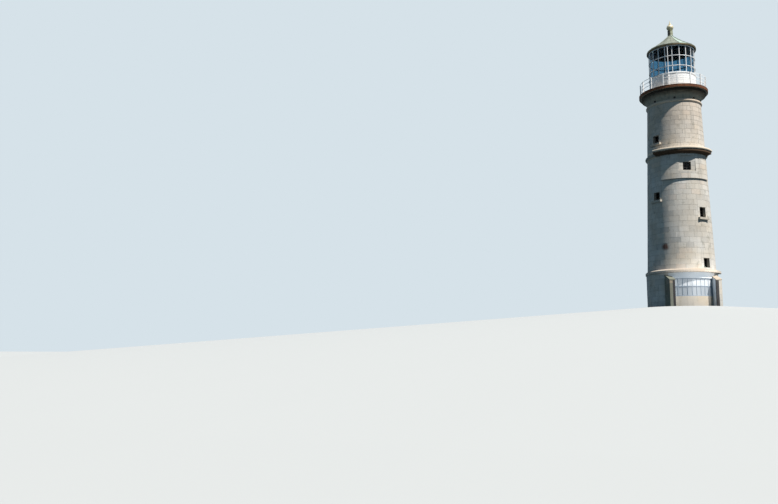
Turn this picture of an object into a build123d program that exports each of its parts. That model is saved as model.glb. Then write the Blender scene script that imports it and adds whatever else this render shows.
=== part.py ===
from build123d import *
from math import cos, radians, sin, sqrt, tan
import os

# Granite lighthouse with a glazed lantern, a mid-height light room and a low light room.
# Millimetres. +Z is up, the origin is on the ground at the tower's axis, and the low
# light room looks along -Y. Bearings are turned from that front side towards +X.

# Clearances
FIT = 0.3

# Tower walls
BORE_R = 1950
BASE_R = 3250
SHAFT_FOOT_R = 3125
SHAFT_HEAD_R = 2520

# Heights of the stages, from the ground up
BASE_H = 3240
LEDGE_H = 260
LOWER_SHAFT_H = 8780
ROOM_H = 2420
HOOD_H = 670
UPPER_SHAFT_H = 4620
NECK_H = 280
CORNICE_H = 1000

# Base ledge and the string that goes on round the back
LEDGE_OUT = 307
LEDGE_STRING_OUT = 80
LEDGE_HALF_TURN = 72
LEDGE_WEATHERING = 60

# Middle light room, whose front stands proud of the shaft
ROOM_SWELL = 120
BOW_HALF_TURN = 50

# Hood over the middle light room, and the half-round string behind it
HOOD_OUT = 470
HOOD_LIP_H = 210
HOOD_LIP_ROLL = 50
HOOD_FASCIA_H = 200
HOOD_DRIP = 40
HOOD_HOLLOW = 45
HOOD_HALF_TURN = 60
HOOD_STRING_OUT = 190
HOOD_STRING_H = 400

# Floors
FLOOR_T = 150
FLOOR_SEAT = 200

# Windows
WINDOW_W = 750
REVEAL = 350
WINDOW_FRAME_W = 60
WINDOW_FRAME_D = 80
GLASS_T = 12
SILL_W = 1230
SILL_H = 200
SILL_OUT = 170
SILL_IN = 250
STAIR_TURN = 27.5
LOW_SILL_UP = 200
LOW_H = 900
MIDDLE_SILL_UP = 5000
MIDDLE_H = 1000
SIDE_SILL_UP = 6900
UPPER_SILL_UP = 730
SIDE_H = 800
ROOM_SILL_UP = 820
ROOM_WINDOW_H = 800
ROOM_PANEL_W = 1600
ROOM_PANEL_H = 1500
ROOM_PANEL_UP = 720
ROOM_PANEL_D = 50

# Low light room at the front
CHAMBER_HALF_W = 1900
LIGHT_LINTEL_H = 580
LINTEL_SEAT = 250
APRON_H = 1000
APRON_T = 400
SCREEN_SETBACK = 80
SCREEN_T = 90
SCREEN_BAYS = 9
SCREEN_BAY_TURN = 7.6
SCREEN_BAR_TURN = 0.8
SCREEN_RAIL_H = 60
SCREEN_BOARD_H = 750
SCREEN_PANEL_T = 25
CHEEK_T = 500
CHEEK_OUT = 230
CHEEK_DROP = 790
CHEEK_SLOPE = 22.4
COPING_T = 90
COPING_OVER = 30
POST_W = 230
POST_D = 150

# Entrance at the back
DOOR_W = 1000
DOOR_H = 2050
DOOR_FRAME = 70
DOOR_LEAF_T = 60
DOOR_REVEAL = 450
DOOR_LINTEL_SEAT = 200
STEP_OUT = 600

# Neck, cornice and gallery
NECK_OUT = 115
NECK_FRIEZE = 120
CORNICE_R = 3020
CORNICE_FILLET_H = 270
COVE_HOLLOW = 0.17
VENT_R = 100
VENT_TURN = -17.5
VENT_COUNT = 8
DECK_T = 230
DECK_OVER = 150
RIM_T = 70
RIM_DROP = 230
RIM_FLANGE_W = 270
RIM_FLANGE_T = 30

# Gallery railing
RAIL_INSET = 150
RAIL_H = 1170
RAIL_COUNT = 3
RAIL_STEP = 360
RAIL_D = 45
RAIL_T = 20
STANCHION_W = 100
STANCHION_COUNT = 15
STANCHION_TOP = 50

# Lantern
LANTERN_R = 2200
MURETTE_T = 160
MURETTE_H = 1520
CURB_OVER = 50
CURB_H = 70
GLAZING_H = 2780
BAR_COUNT = 20
BAR_W = 60
BAR_D = 90
GLAZING_RING_H = 60
HOOP_OVER = 12
LOW_RING_UP = 700
HIGH_RING_UP = 1730

# Roof
EAVE_OUT = 140
EAVE_H = 120
ROOF_RISE = 1560
ROOF_T = 60
ROOF_SAG = 100
ROOF_COURSES = 4
RIB_W = 50
RIB_UP = 35
RIB_SETBACK = 12
VENT_PIPE_R = 250
VENT_PIPE_H = 590
VENT_PIPE_T = 12
PIPE_CAP_T = 20
BALL_R = 330
BALL_T = 8
COLLAR_R = 130
COLLAR_H = 25
SPIKE_R = 90
SPIKE_TIP_R = 15
SPIKE_H = 380

# Levels that follow
BASE_TOP = BASE_H
LEDGE_TOP = BASE_TOP + LEDGE_H
ROOM_FOOT = LEDGE_TOP + LOWER_SHAFT_H
HOOD_FOOT = ROOM_FOOT + ROOM_H
HOOD_TOP = HOOD_FOOT + HOOD_H
SHAFT_TOP = HOOD_TOP + UPPER_SHAFT_H
NECK_TOP = SHAFT_TOP + NECK_H
CORNICE_TOP = NECK_TOP + CORNICE_H
DECK_TOP = CORNICE_TOP + DECK_T
RIM_TOP = DECK_TOP + RIM_FLANGE_T
MURETTE_TOP = DECK_TOP + MURETTE_H
GLAZING_FOOT = MURETTE_TOP + CURB_H
GLAZING_TOP = GLAZING_FOOT + GLAZING_H
ROOF_FOOT = GLAZING_TOP + EAVE_H
ROOF_TOP = ROOF_FOOT + ROOF_T + ROOF_RISE
PIPE_TOP = ROOF_TOP + VENT_PIPE_H
BALL_Z = PIPE_TOP + COLLAR_H + BALL_R
SPIKE_FOOT = BALL_Z + BALL_R + COLLAR_H
CHAMBER_H = BASE_TOP - LIGHT_LINTEL_H
SCREEN_TRANSOM = CHAMBER_H - SCREEN_BOARD_H
CHEEK_TIP_H = BASE_TOP - CHEEK_DROP
DOOR_TOP = FLOOR_T + DOOR_H

# Reaches that follow
LEDGE_R = BASE_R + LEDGE_OUT
LEDGE_STRING_R = BASE_R + LEDGE_STRING_OUT
SCREEN_R = BASE_R - SCREEN_SETBACK
SCREEN_BACK_R = SCREEN_R - APRON_T
CHEEK_REACH = BASE_R + CHEEK_OUT
FLOOR_R = BORE_R + FLOOR_SEAT
DECK_R = CORNICE_R + DECK_OVER
RIM_R = DECK_R + RIM_T
RAIL_R = RIM_R - RAIL_INSET
GLASS_R = LANTERN_R - BAR_D - FIT
EAVE_R = LANTERN_R + EAVE_OUT

# Turns in degrees
QUARTER_TURN = 90
HALF_TURN = 180
FULL_TURN = 360

os.makedirs("parts", exist_ok=True)


def bearing(angle):
    """Level direction of a bearing, turned from the front towards +X."""
    return Vector(sin(radians(angle)), -cos(radians(angle)), 0)


def section_plane(angle):
    """Upright plane through the axis, with x outwards and y up."""
    out = bearing(angle)
    return Plane(origin=(0, 0, 0), x_dir=out, z_dir=out.cross(Vector(0, 0, 1)))


def face_plane(angle, reach, level):
    """Upright plane that faces outwards, with x along the wall and y up."""
    out = bearing(angle)
    origin = out * reach + Vector(0, 0, level)
    return Plane(origin=origin, x_dir=Vector(0, 0, 1).cross(out), z_dir=out)


def shaft_r(level):
    """Outside radius of the tapered shaft at a level."""
    share = (level - LEDGE_TOP) / (SHAFT_TOP - LEDGE_TOP)
    return SHAFT_FOOT_R + (SHAFT_HEAD_R - SHAFT_FOOT_R) * share


def turned(points, start, turn, mode=Mode.ADD):
    """Turn a straight-sided radial section about the axis from one bearing."""
    with BuildSketch(section_plane(start)) as section:
        with BuildLine():
            Polyline(*points, close=True)
        make_face()
    revolve(section.sketch, axis=Axis.Z, revolution_arc=turn, mode=mode)


def block(angle, near, far, low, high, wide, mode=Mode.ADD, aside=0):
    """Straight block that points along a bearing."""
    with BuildSketch(face_plane(angle, near, (low + high) / 2)) as outline:
        with Locations((aside, 0)):
            Rectangle(wide, high - low)
    extrude(outline.sketch, amount=far - near, mode=mode)


def wall_face(window):
    """Radius of the wall face beside a window."""
    angle, sill, height, has_sill = window
    swell = ROOM_SWELL if ROOM_FOOT < sill < HOOD_FOOT else 0
    return shaft_r(sill) + swell


def cut_window(window):
    """Cut a square-headed window through the wall, with a seat for its sill."""
    angle, sill, height, has_sill = window
    outside = wall_face(window) + BORE_R
    block(angle, 0, outside, sill, sill + height, WINDOW_W, Mode.SUBTRACT)
    if has_sill:
        block(angle, wall_face(window) - SILL_IN, outside, sill - SILL_H, sill, SILL_W, Mode.SUBTRACT)


low_window = (STAIR_TURN, LEDGE_TOP + LOW_SILL_UP, LOW_H, False)
middle_window = (STAIR_TURN, LEDGE_TOP + MIDDLE_SILL_UP, MIDDLE_H, True)
side_window = (STAIR_TURN - QUARTER_TURN, LEDGE_TOP + SIDE_SILL_UP, SIDE_H, True)
upper_window = (STAIR_TURN - QUARTER_TURN, HOOD_TOP + UPPER_SILL_UP, SIDE_H, True)
room_window = (0, ROOM_FOOT + ROOM_SILL_UP, ROOM_WINDOW_H, False)


def across(window):
    """The same window on the opposite side of the tower."""
    angle, sill, height, has_sill = window
    return (angle + HALF_TURN, sill, height, has_sill)


stair_windows = [low_window, middle_window, side_window, upper_window]
stair_windows += [across(window) for window in stair_windows]
all_windows = stair_windows + [room_window]

# Ground floor
with BuildPart() as ground_floor:
    with BuildSketch() as outline:
        Circle(SCREEN_BACK_R - FIT)
        with Locations((0, -SCREEN_BACK_R)):
            Rectangle(2 * (CHAMBER_HALF_W - FIT), 2 * SCREEN_BACK_R, mode=Mode.INTERSECT)
        Circle(BORE_R - FIT)
    extrude(outline.sketch, amount=FLOOR_T)
ground_floor.part.label = "ground_floor"
export_step(ground_floor.part, "parts/ground_floor.step")

# Base walls, one on each side of the chamber and the entrance
drum = [(BORE_R, 0), (BASE_R, 0), (BASE_R, BASE_TOP), (BORE_R, BASE_TOP)]
chamber_w = 2 * CHAMBER_HALF_W
lintel_w = chamber_w + 2 * LINTEL_SEAT
door_lintel_w = DOOR_W + 2 * DOOR_LINTEL_SEAT
for label, start in (("base_wall_right", 0), ("base_wall_left", HALF_TURN)):
    with BuildPart() as base_wall:
        turned(drum, start, HALF_TURN)
        block(0, 0, 2 * BASE_R, 0, CHAMBER_H, chamber_w, Mode.SUBTRACT)
        block(0, 0, 2 * BASE_R, CHAMBER_H, BASE_TOP, lintel_w, Mode.SUBTRACT)
        block(HALF_TURN, 0, 2 * BASE_R, 0, DOOR_TOP, DOOR_W, Mode.SUBTRACT)
        block(HALF_TURN, 0, 2 * BASE_R, DOOR_TOP, BASE_TOP, door_lintel_w, Mode.SUBTRACT)
    base_wall.part.label = label
    export_step(base_wall.part, f"parts/{label}.step")

# Lintels over the chamber and over the entrance
with BuildPart() as light_lintel:
    turned(drum, -QUARTER_TURN, HALF_TURN)
    block(0, 0, 2 * BASE_R, CHAMBER_H, BASE_TOP, lintel_w, Mode.INTERSECT)
light_lintel.part.label = "light_lintel"
export_step(light_lintel.part, "parts/light_lintel.step")

with BuildPart() as door_lintel:
    turned(drum, QUARTER_TURN, HALF_TURN)
    block(HALF_TURN, 0, 2 * BASE_R, DOOR_TOP, BASE_TOP, door_lintel_w, Mode.INTERSECT)
door_lintel.part.label = "door_lintel"
export_step(door_lintel.part, "parts/door_lintel.step")

# Cheek walls with raking copings, and the dark posts in their front corners
cheek_middle = CHAMBER_HALF_W + CHEEK_T / 2
coping_half_w = CHEEK_T / 2 + COPING_OVER
cheek_root = sqrt(BASE_R**2 - (cheek_middle + coping_half_w) ** 2)
cheek_rise = (CHEEK_REACH - cheek_root) * tan(radians(CHEEK_SLOPE))
coping_rise = COPING_T / cos(radians(CHEEK_SLOPE))


def side_plane(aside):
    """Upright plane along the front direction, with x towards the front and y up."""
    return Plane(origin=(aside, 0, 0), x_dir=(0, -1, 0), z_dir=(-1, 0, 0))


for side, label in ((1, "cheek_wall_right"), (-1, "cheek_wall_left")):
    with BuildPart() as cheek_wall:
        with BuildSketch(side_plane(side * cheek_middle)) as outline:
            with BuildLine():
                Polyline(
                    (cheek_root, 0),
                    (CHEEK_REACH, 0),
                    (CHEEK_REACH, CHEEK_TIP_H),
                    (cheek_root, CHEEK_TIP_H + cheek_rise),
                    close=True,
                )
            make_face()
        extrude(outline.sketch, amount=CHEEK_T / 2, both=True)
        Cylinder(BASE_R + FIT, 2 * LEDGE_TOP, mode=Mode.SUBTRACT)
        post_x = side * (CHAMBER_HALF_W + POST_W / 2)
        block(0, CHEEK_REACH - POST_D, CHEEK_REACH, 0, CHEEK_TIP_H, POST_W, Mode.SUBTRACT, post_x)
    cheek_wall.part.label = label
    export_step(cheek_wall.part, f"parts/{label}.step")

with BuildPart() as cheek_copings:
    for side in (1, -1):
        with BuildSketch(side_plane(side * cheek_middle)) as outline:
            with BuildLine():
                Polyline(
                    (cheek_root, CHEEK_TIP_H + cheek_rise),
                    (CHEEK_REACH, CHEEK_TIP_H),
                    (CHEEK_REACH + COPING_OVER, CHEEK_TIP_H),
                    (CHEEK_REACH + COPING_OVER, CHEEK_TIP_H + coping_rise),
                    (CHEEK_REACH, CHEEK_TIP_H + coping_rise),
                    (cheek_root, CHEEK_TIP_H + cheek_rise + coping_rise),
                    close=True,
                )
            make_face()
        extrude(outline.sketch, amount=coping_half_w, both=True)
    Cylinder(BASE_R + FIT, 2 * LEDGE_TOP, mode=Mode.SUBTRACT)
cheek_copings.part.label = "cheek_copings"
export_step(cheek_copings.part, "parts/cheek_copings.step")

with BuildPart() as jamb_posts:
    for side in (1, -1):
        post_x = side * (CHAMBER_HALF_W + POST_W / 2)
        block(0, CHEEK_REACH - POST_D, CHEEK_REACH, 0, CHEEK_TIP_H, POST_W, aside=post_x)
jamb_posts.part.label = "jamb_posts"
export_step(jamb_posts.part, "parts/jamb_posts.step")

# Curved screen of the low light room: apron, frame, upper boards and lower glass
apron = [
    (SCREEN_BACK_R, 0),
    (SCREEN_R, 0),
    (SCREEN_R, APRON_H),
    (SCREEN_BACK_R, APRON_H),
]
with BuildPart() as screen_apron:
    turned(apron, -QUARTER_TURN, HALF_TURN)
    block(0, 0, 2 * BASE_R, 0, APRON_H, chamber_w, Mode.INTERSECT)
screen_apron.part.label = "screen_apron"
export_step(screen_apron.part, "parts/screen_apron.step")


def arc_band(outside, thick, low, high, start, turn, mode=Mode.ADD):
    """Upright curved band of one thickness."""
    inside = outside - thick
    points = [(inside, low), (outside, low), (outside, high), (inside, high)]
    turned(points, start, turn, mode)


upper_low = SCREEN_TRANSOM + SCREEN_RAIL_H / 2
upper_high = CHAMBER_H - SCREEN_RAIL_H
lower_low = APRON_H + SCREEN_RAIL_H
lower_high = SCREEN_TRANSOM - SCREEN_RAIL_H / 2
first_bay = (SCREEN_BAR_TURN - SCREEN_BAYS * SCREEN_BAY_TURN) / 2
bay_starts = [first_bay + bay * SCREEN_BAY_TURN for bay in range(SCREEN_BAYS)]
bay_turn = SCREEN_BAY_TURN - SCREEN_BAR_TURN

with BuildPart() as screen_frame:
    arc_band(SCREEN_R, SCREEN_T, APRON_H, CHAMBER_H, -QUARTER_TURN, HALF_TURN)
    block(0, 0, 2 * BASE_R, APRON_H, CHAMBER_H, chamber_w, Mode.INTERSECT)
    for start in bay_starts:
        arc_band(BASE_R, APRON_T, lower_low, lower_high, start, bay_turn, Mode.SUBTRACT)
        arc_band(BASE_R, APRON_T, upper_low, upper_high, start, bay_turn, Mode.SUBTRACT)
screen_frame.part.label = "screen_frame"
export_step(screen_frame.part, "parts/screen_frame.step")

PANEL_R = SCREEN_R - (SCREEN_T - SCREEN_PANEL_T) / 2
with BuildPart() as screen_boards:
    for start in bay_starts:
        arc_band(PANEL_R, SCREEN_PANEL_T, upper_low, upper_high, start, bay_turn)
screen_boards.part.label = "screen_boards"
export_step(screen_boards.part, "parts/screen_boards.step")

with BuildPart() as screen_glass:
    for start in bay_starts:
        arc_band(PANEL_R, GLASS_T, lower_low, lower_high, start, bay_turn)
screen_glass.part.label = "screen_glass"
export_step(screen_glass.part, "parts/screen_glass.step")

# Entrance step, frame and leaf
leaf_reach = BASE_R - DOOR_REVEAL
with BuildPart() as door_step:
    block(HALF_TURN, BORE_R, BASE_R + STEP_OUT, 0, FLOOR_T, DOOR_W)
door_step.part.label = "door_step"
export_step(door_step.part, "parts/door_step.step")

with BuildPart() as door_frame:
    block(HALF_TURN, leaf_reach - DOOR_FRAME, leaf_reach + DOOR_FRAME, FLOOR_T, DOOR_TOP, DOOR_W)
    block(
        HALF_TURN,
        leaf_reach - DOOR_FRAME,
        leaf_reach + DOOR_FRAME,
        FLOOR_T,
        DOOR_TOP - DOOR_FRAME,
        DOOR_W - 2 * DOOR_FRAME,
        Mode.SUBTRACT,
    )
door_frame.part.label = "door_frame"
export_step(door_frame.part, "parts/door_frame.step")

with BuildPart() as entrance_door:
    block(
        HALF_TURN,
        leaf_reach - DOOR_LEAF_T / 2,
        leaf_reach + DOOR_LEAF_T / 2,
        FLOOR_T,
        DOOR_TOP - DOOR_FRAME,
        DOOR_W - 2 * DOOR_FRAME,
    )
entrance_door.part.label = "entrance_door"
export_step(entrance_door.part, "parts/entrance_door.step")

# Base ledge: a deep weathered lip over the front and a shallow string round the back
with BuildPart() as base_ledge:
    string = [
        (BORE_R, BASE_TOP),
        (LEDGE_STRING_R, BASE_TOP),
        (LEDGE_STRING_R, LEDGE_TOP - LEDGE_WEATHERING),
        (SHAFT_FOOT_R, LEDGE_TOP),
        (BORE_R, LEDGE_TOP),
    ]
    lip = [
        (BORE_R, BASE_TOP),
        (LEDGE_R, BASE_TOP),
        (LEDGE_R, LEDGE_TOP - LEDGE_WEATHERING),
        (SHAFT_FOOT_R, LEDGE_TOP),
        (BORE_R, LEDGE_TOP),
    ]
    turned(lip, -LEDGE_HALF_TURN, 2 * LEDGE_HALF_TURN)
    turned(string, LEDGE_HALF_TURN, FULL_TURN - 2 * LEDGE_HALF_TURN)
base_ledge.part.label = "base_ledge"
export_step(base_ledge.part, "parts/base_ledge.step")

# Shaft walls between the ledge and the middle room, a quarter turn each
shaft_quarters = (
    ("lower_shaft_front", STAIR_TURN, (low_window, middle_window)),
    ("lower_shaft_left", STAIR_TURN - QUARTER_TURN, (side_window,)),
    ("lower_shaft_back", STAIR_TURN + HALF_TURN, (across(low_window), across(middle_window))),
    ("lower_shaft_right", STAIR_TURN + QUARTER_TURN, (across(side_window),)),
)
lower_section = [
    (BORE_R, LEDGE_TOP),
    (SHAFT_FOOT_R, LEDGE_TOP),
    (shaft_r(ROOM_FOOT), ROOM_FOOT),
    (BORE_R, ROOM_FOOT),
]
for label, middle, windows in shaft_quarters:
    with BuildPart() as lower_shaft:
        turned(lower_section, middle - QUARTER_TURN / 2, QUARTER_TURN)
        for window in windows:
            cut_window(window)
    lower_shaft.part.label = label
    export_step(lower_shaft.part, f"parts/{label}.step")

# Floor of the middle room, bedded on the shaft walls
with BuildPart() as room_floor:
    with BuildSketch(Plane.XY.offset(ROOM_FOOT)) as outline:
        Circle(FLOOR_R - FIT)
    extrude(outline.sketch, amount=FLOOR_T)
room_floor.part.label = "room_floor"
export_step(room_floor.part, "parts/room_floor.step")


# Middle room walls, whose front stands a little proud of the shaft below
def room_section(swell):
    """Section of the room's wall, seated on the shaft and on the rim of the floor."""
    return [
        (FLOOR_R, ROOM_FOOT),
        (shaft_r(ROOM_FOOT) + swell, ROOM_FOOT),
        (shaft_r(HOOD_FOOT) + swell, HOOD_FOOT),
        (BORE_R, HOOD_FOOT),
        (BORE_R, ROOM_FOOT + FLOOR_T),
        (FLOOR_R, ROOM_FOOT + FLOOR_T),
    ]


for label, start in (("room_wall_front", -QUARTER_TURN), ("room_wall_back", QUARTER_TURN)):
    with BuildPart() as room_wall:
        turned(room_section(0), start, HALF_TURN)
        if label == "room_wall_front":
            turned(room_section(ROOM_SWELL), -BOW_HALF_TURN, 2 * BOW_HALF_TURN)
            cut_window(room_window)
            panel_reach = wall_face(room_window) - ROOM_PANEL_D
            room_panel_foot = ROOM_FOOT + ROOM_PANEL_UP
            block(
                0,
                sqrt(panel_reach**2 - (ROOM_PANEL_W / 2) ** 2),
                2 * BASE_R,
                room_panel_foot,
                room_panel_foot + ROOM_PANEL_H,
                ROOM_PANEL_W,
                Mode.SUBTRACT,
            )
    room_wall.part.label = label
    export_step(room_wall.part, f"parts/{label}.step")

# Hood over the front of the middle room: round lip, fascia and hollow soffit
hood_wall_r = shaft_r(HOOD_FOOT) + ROOM_SWELL
lip_r = hood_wall_r + HOOD_OUT
lip_top = HOOD_TOP - LEDGE_WEATHERING
lip_foot = lip_top - HOOD_LIP_H
fascia_r = lip_r - HOOD_DRIP
fascia_foot = lip_foot - HOOD_FASCIA_H
with BuildPart() as room_hood:
    with BuildSketch(section_plane(-HOOD_HALF_TURN)) as section:
        with BuildLine():
            Line((BORE_R, HOOD_FOOT), (hood_wall_r, HOOD_FOOT))
            SagittaArc((hood_wall_r, HOOD_FOOT), (fascia_r, fascia_foot), HOOD_HOLLOW)
            Line((fascia_r, fascia_foot), (fascia_r, lip_foot))
            Line((fascia_r, lip_foot), (lip_r, lip_foot))
            SagittaArc((lip_r, lip_foot), (lip_r, lip_top), -HOOD_LIP_ROLL)
            Line((lip_r, lip_top), (shaft_r(HOOD_TOP), HOOD_TOP))
            Line((shaft_r(HOOD_TOP), HOOD_TOP), (BORE_R, HOOD_TOP))
            Line((BORE_R, HOOD_TOP), (BORE_R, HOOD_FOOT))
        make_face()
    revolve(section.sketch, axis=Axis.Z, revolution_arc=2 * HOOD_HALF_TURN)
room_hood.part.label = "room_hood"
export_step(room_hood.part, "parts/room_hood.step")

# Half-round string that goes on from the hood round the back
with BuildPart() as room_string:
    with BuildSketch(section_plane(HOOD_HALF_TURN)) as section:
        with BuildLine():
            string_head = HOOD_FOOT + HOOD_STRING_H
            string_mid = (shaft_r(HOOD_FOOT) + HOOD_STRING_OUT, HOOD_FOOT + HOOD_STRING_H / 2)
            Line((BORE_R, HOOD_FOOT), (shaft_r(HOOD_FOOT), HOOD_FOOT))
            ThreePointArc((shaft_r(HOOD_FOOT), HOOD_FOOT), string_mid, (shaft_r(string_head), string_head))
            Line((shaft_r(string_head), string_head), (shaft_r(HOOD_TOP), HOOD_TOP))
            Line((shaft_r(HOOD_TOP), HOOD_TOP), (BORE_R, HOOD_TOP))
            Line((BORE_R, HOOD_TOP), (BORE_R, HOOD_FOOT))
        make_face()
    revolve(section.sketch, axis=Axis.Z, revolution_arc=FULL_TURN - 2 * HOOD_HALF_TURN)
room_string.part.label = "room_string"
export_step(room_string.part, "parts/room_string.step")

# Upper shaft, in two halves
upper_section = [
    (BORE_R, HOOD_TOP),
    (shaft_r(HOOD_TOP), HOOD_TOP),
    (SHAFT_HEAD_R, SHAFT_TOP),
    (BORE_R, SHAFT_TOP),
]
for label, window in (("upper_shaft_left", upper_window), ("upper_shaft_right", across(upper_window))):
    with BuildPart() as upper_shaft:
        turned(upper_section, window[0] - QUARTER_TURN, HALF_TURN)
        cut_window(window)
    upper_shaft.part.label = label
    export_step(upper_shaft.part, f"parts/{label}.step")

# Window sills, frames and glass
with BuildPart() as window_sills:
    for window in all_windows:
        angle, sill, height, has_sill = window
        if has_sill:
            face = wall_face(window)
            block(angle, face - SILL_IN, face + SILL_OUT, sill - SILL_H, sill, SILL_W)
window_sills.part.label = "window_sills"
export_step(window_sills.part, "parts/window_sills.step")

with BuildPart() as window_frames:
    for window in all_windows:
        angle, sill, height, has_sill = window
        front = wall_face(window) - REVEAL
        back = front - WINDOW_FRAME_D
        block(angle, back, front, sill, sill + height, WINDOW_W)
        block(
            angle,
            back,
            front,
            sill + WINDOW_FRAME_W,
            sill + height - WINDOW_FRAME_W,
            WINDOW_W - 2 * WINDOW_FRAME_W,
            Mode.SUBTRACT,
        )
window_frames.part.label = "window_frames"
export_step(window_frames.part, "parts/window_frames.step")

with BuildPart() as window_glass:
    for window in all_windows:
        angle, sill, height, has_sill = window
        middle = wall_face(window) - REVEAL - WINDOW_FRAME_D / 2
        block(
            angle,
            middle - GLASS_T / 2,
            middle + GLASS_T / 2,
            sill + WINDOW_FRAME_W,
            sill + height - WINDOW_FRAME_W,
            WINDOW_W - 2 * WINDOW_FRAME_W,
        )
window_glass.part.label = "window_glass"
export_step(window_glass.part, "parts/window_glass.step")

# Neck moulding
with BuildPart() as neck_torus:
    with BuildSketch(section_plane(0)) as section:
        with BuildLine():
            Line((BORE_R, SHAFT_TOP), (SHAFT_HEAD_R, SHAFT_TOP))
            neck_mid = (SHAFT_HEAD_R + NECK_OUT, SHAFT_TOP + NECK_H / 2)
            ThreePointArc((SHAFT_HEAD_R, SHAFT_TOP), neck_mid, (SHAFT_HEAD_R, NECK_TOP))
            Line((SHAFT_HEAD_R, NECK_TOP), (BORE_R, NECK_TOP))
            Line((BORE_R, NECK_TOP), (BORE_R, SHAFT_TOP))
        make_face()
    revolve(section.sketch, axis=Axis.Z)
neck_torus.part.label = "neck_torus"
export_step(neck_torus.part, "parts/neck_torus.step")

# Hollowed cornice with its ring of vents
frieze_top = NECK_TOP + NECK_FRIEZE
fillet_foot = CORNICE_TOP - CORNICE_FILLET_H
with BuildPart() as cornice:
    with BuildSketch(section_plane(0)) as section:
        with BuildLine():
            Line((BORE_R, NECK_TOP), (SHAFT_HEAD_R, NECK_TOP))
            Line((SHAFT_HEAD_R, NECK_TOP), (SHAFT_HEAD_R, frieze_top))
            cove_run = CORNICE_R - SHAFT_HEAD_R
            SagittaArc((SHAFT_HEAD_R, frieze_top), (CORNICE_R, fillet_foot), cove_run * COVE_HOLLOW)
            Line((CORNICE_R, fillet_foot), (CORNICE_R, CORNICE_TOP))
            Line((CORNICE_R, CORNICE_TOP), (BORE_R, CORNICE_TOP))
            Line((BORE_R, CORNICE_TOP), (BORE_R, NECK_TOP))
        make_face()
    revolve(section.sketch, axis=Axis.Z)
    for vent in range(VENT_COUNT):
        angle = VENT_TURN + vent * FULL_TURN / VENT_COUNT
        with BuildSketch(face_plane(angle, BORE_R / 2, frieze_top)) as outline:
            Circle(VENT_R)
        extrude(outline.sketch, amount=CORNICE_R, mode=Mode.SUBTRACT)
cornice.part.label = "cornice"
export_step(cornice.part, "parts/cornice.step")

# Gallery deck and its iron rim
with BuildPart() as gallery_deck:
    with BuildSketch(Plane.XY.offset(CORNICE_TOP)) as outline:
        Circle(DECK_R)
    extrude(outline.sketch, amount=DECK_T)
gallery_deck.part.label = "gallery_deck"
export_step(gallery_deck.part, "parts/gallery_deck.step")

rim_section = [
    (DECK_R + FIT, DECK_TOP - RIM_DROP),
    (RIM_R, DECK_TOP - RIM_DROP),
    (RIM_R, RIM_TOP),
    (RIM_R - RIM_FLANGE_W, RIM_TOP),
    (RIM_R - RIM_FLANGE_W, DECK_TOP),
    (DECK_R + FIT, DECK_TOP),
]
with BuildPart() as gallery_rim:
    turned(rim_section, 0, FULL_TURN)
gallery_rim.part.label = "gallery_rim"
export_step(gallery_rim.part, "parts/gallery_rim.step")

# Railing: square stanchions slotted for flat rails
rail_levels = [RIM_TOP + RAIL_H - rail * RAIL_STEP for rail in range(RAIL_COUNT)]


def rail_section(level, slack):
    """Section of a flat rail, grown by a slack for the slot that it passes through."""
    inside = RAIL_R - RAIL_T / 2 - slack
    outside = RAIL_R + RAIL_T / 2 + slack
    low = level - RAIL_D / 2 - slack
    high = level + RAIL_D / 2 + slack
    return [(inside, low), (outside, low), (outside, high), (inside, high)]


with BuildPart() as railing_stanchions:
    for place in range(STANCHION_COUNT):
        angle = (place + 0.5) * FULL_TURN / STANCHION_COUNT
        near = RAIL_R - STANCHION_W / 2
        far = RAIL_R + STANCHION_W / 2
        block(angle, near, far, RIM_TOP, RIM_TOP + RAIL_H + STANCHION_TOP, STANCHION_W)
    for level in rail_levels:
        turned(rail_section(level, FIT), 0, FULL_TURN, Mode.SUBTRACT)
railing_stanchions.part.label = "railing_stanchions"
export_step(railing_stanchions.part, "parts/railing_stanchions.step")

with BuildPart() as railing_rails:
    for level in rail_levels:
        turned(rail_section(level, 0), 0, FULL_TURN)
railing_rails.part.label = "railing_rails"
export_step(railing_rails.part, "parts/railing_rails.step")

# Lantern wall with its curb
with BuildPart() as murette:
    arc_band(LANTERN_R, MURETTE_T, DECK_TOP, MURETTE_TOP, 0, FULL_TURN)
murette.part.label = "murette"
export_step(murette.part, "parts/murette.step")

with BuildPart() as lantern_curb:
    arc_band(LANTERN_R + CURB_OVER, MURETTE_T + 2 * CURB_OVER, MURETTE_TOP, GLAZING_FOOT, 0, FULL_TURN)
lantern_curb.part.label = "lantern_curb"
export_step(lantern_curb.part, "parts/lantern_curb.step")

# Glazing bars and hoops
ring_levels = (
    GLAZING_FOOT,
    GLAZING_FOOT + LOW_RING_UP - GLAZING_RING_H / 2,
    GLAZING_FOOT + HIGH_RING_UP - GLAZING_RING_H / 2,
    GLAZING_TOP - GLAZING_RING_H,
)
with BuildPart() as lantern_bars:
    for level in ring_levels:
        arc_band(LANTERN_R, BAR_D, level, level + GLAZING_RING_H, 0, FULL_TURN)
    for bar in range(BAR_COUNT):
        angle = bar * FULL_TURN / BAR_COUNT
        block(angle, LANTERN_R - BAR_D + HOOP_OVER, LANTERN_R - HOOP_OVER, GLAZING_FOOT, GLAZING_TOP, BAR_W)
lantern_bars.part.label = "lantern_bars"
export_step(lantern_bars.part, "parts/lantern_bars.step")

with BuildPart() as lantern_glass:
    arc_band(GLASS_R, GLASS_T, GLAZING_FOOT, GLAZING_TOP, 0, FULL_TURN)
lantern_glass.part.label = "lantern_glass"
export_step(lantern_glass.part, "parts/lantern_glass.step")

# Eaves gutter
with BuildPart() as eaves_gutter:
    arc_band(EAVE_R, EAVE_R - LANTERN_R + MURETTE_T, GLAZING_TOP, ROOF_FOOT, 0, FULL_TURN)
eaves_gutter.part.label = "eaves_gutter"
export_step(eaves_gutter.part, "parts/eaves_gutter.step")

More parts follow.
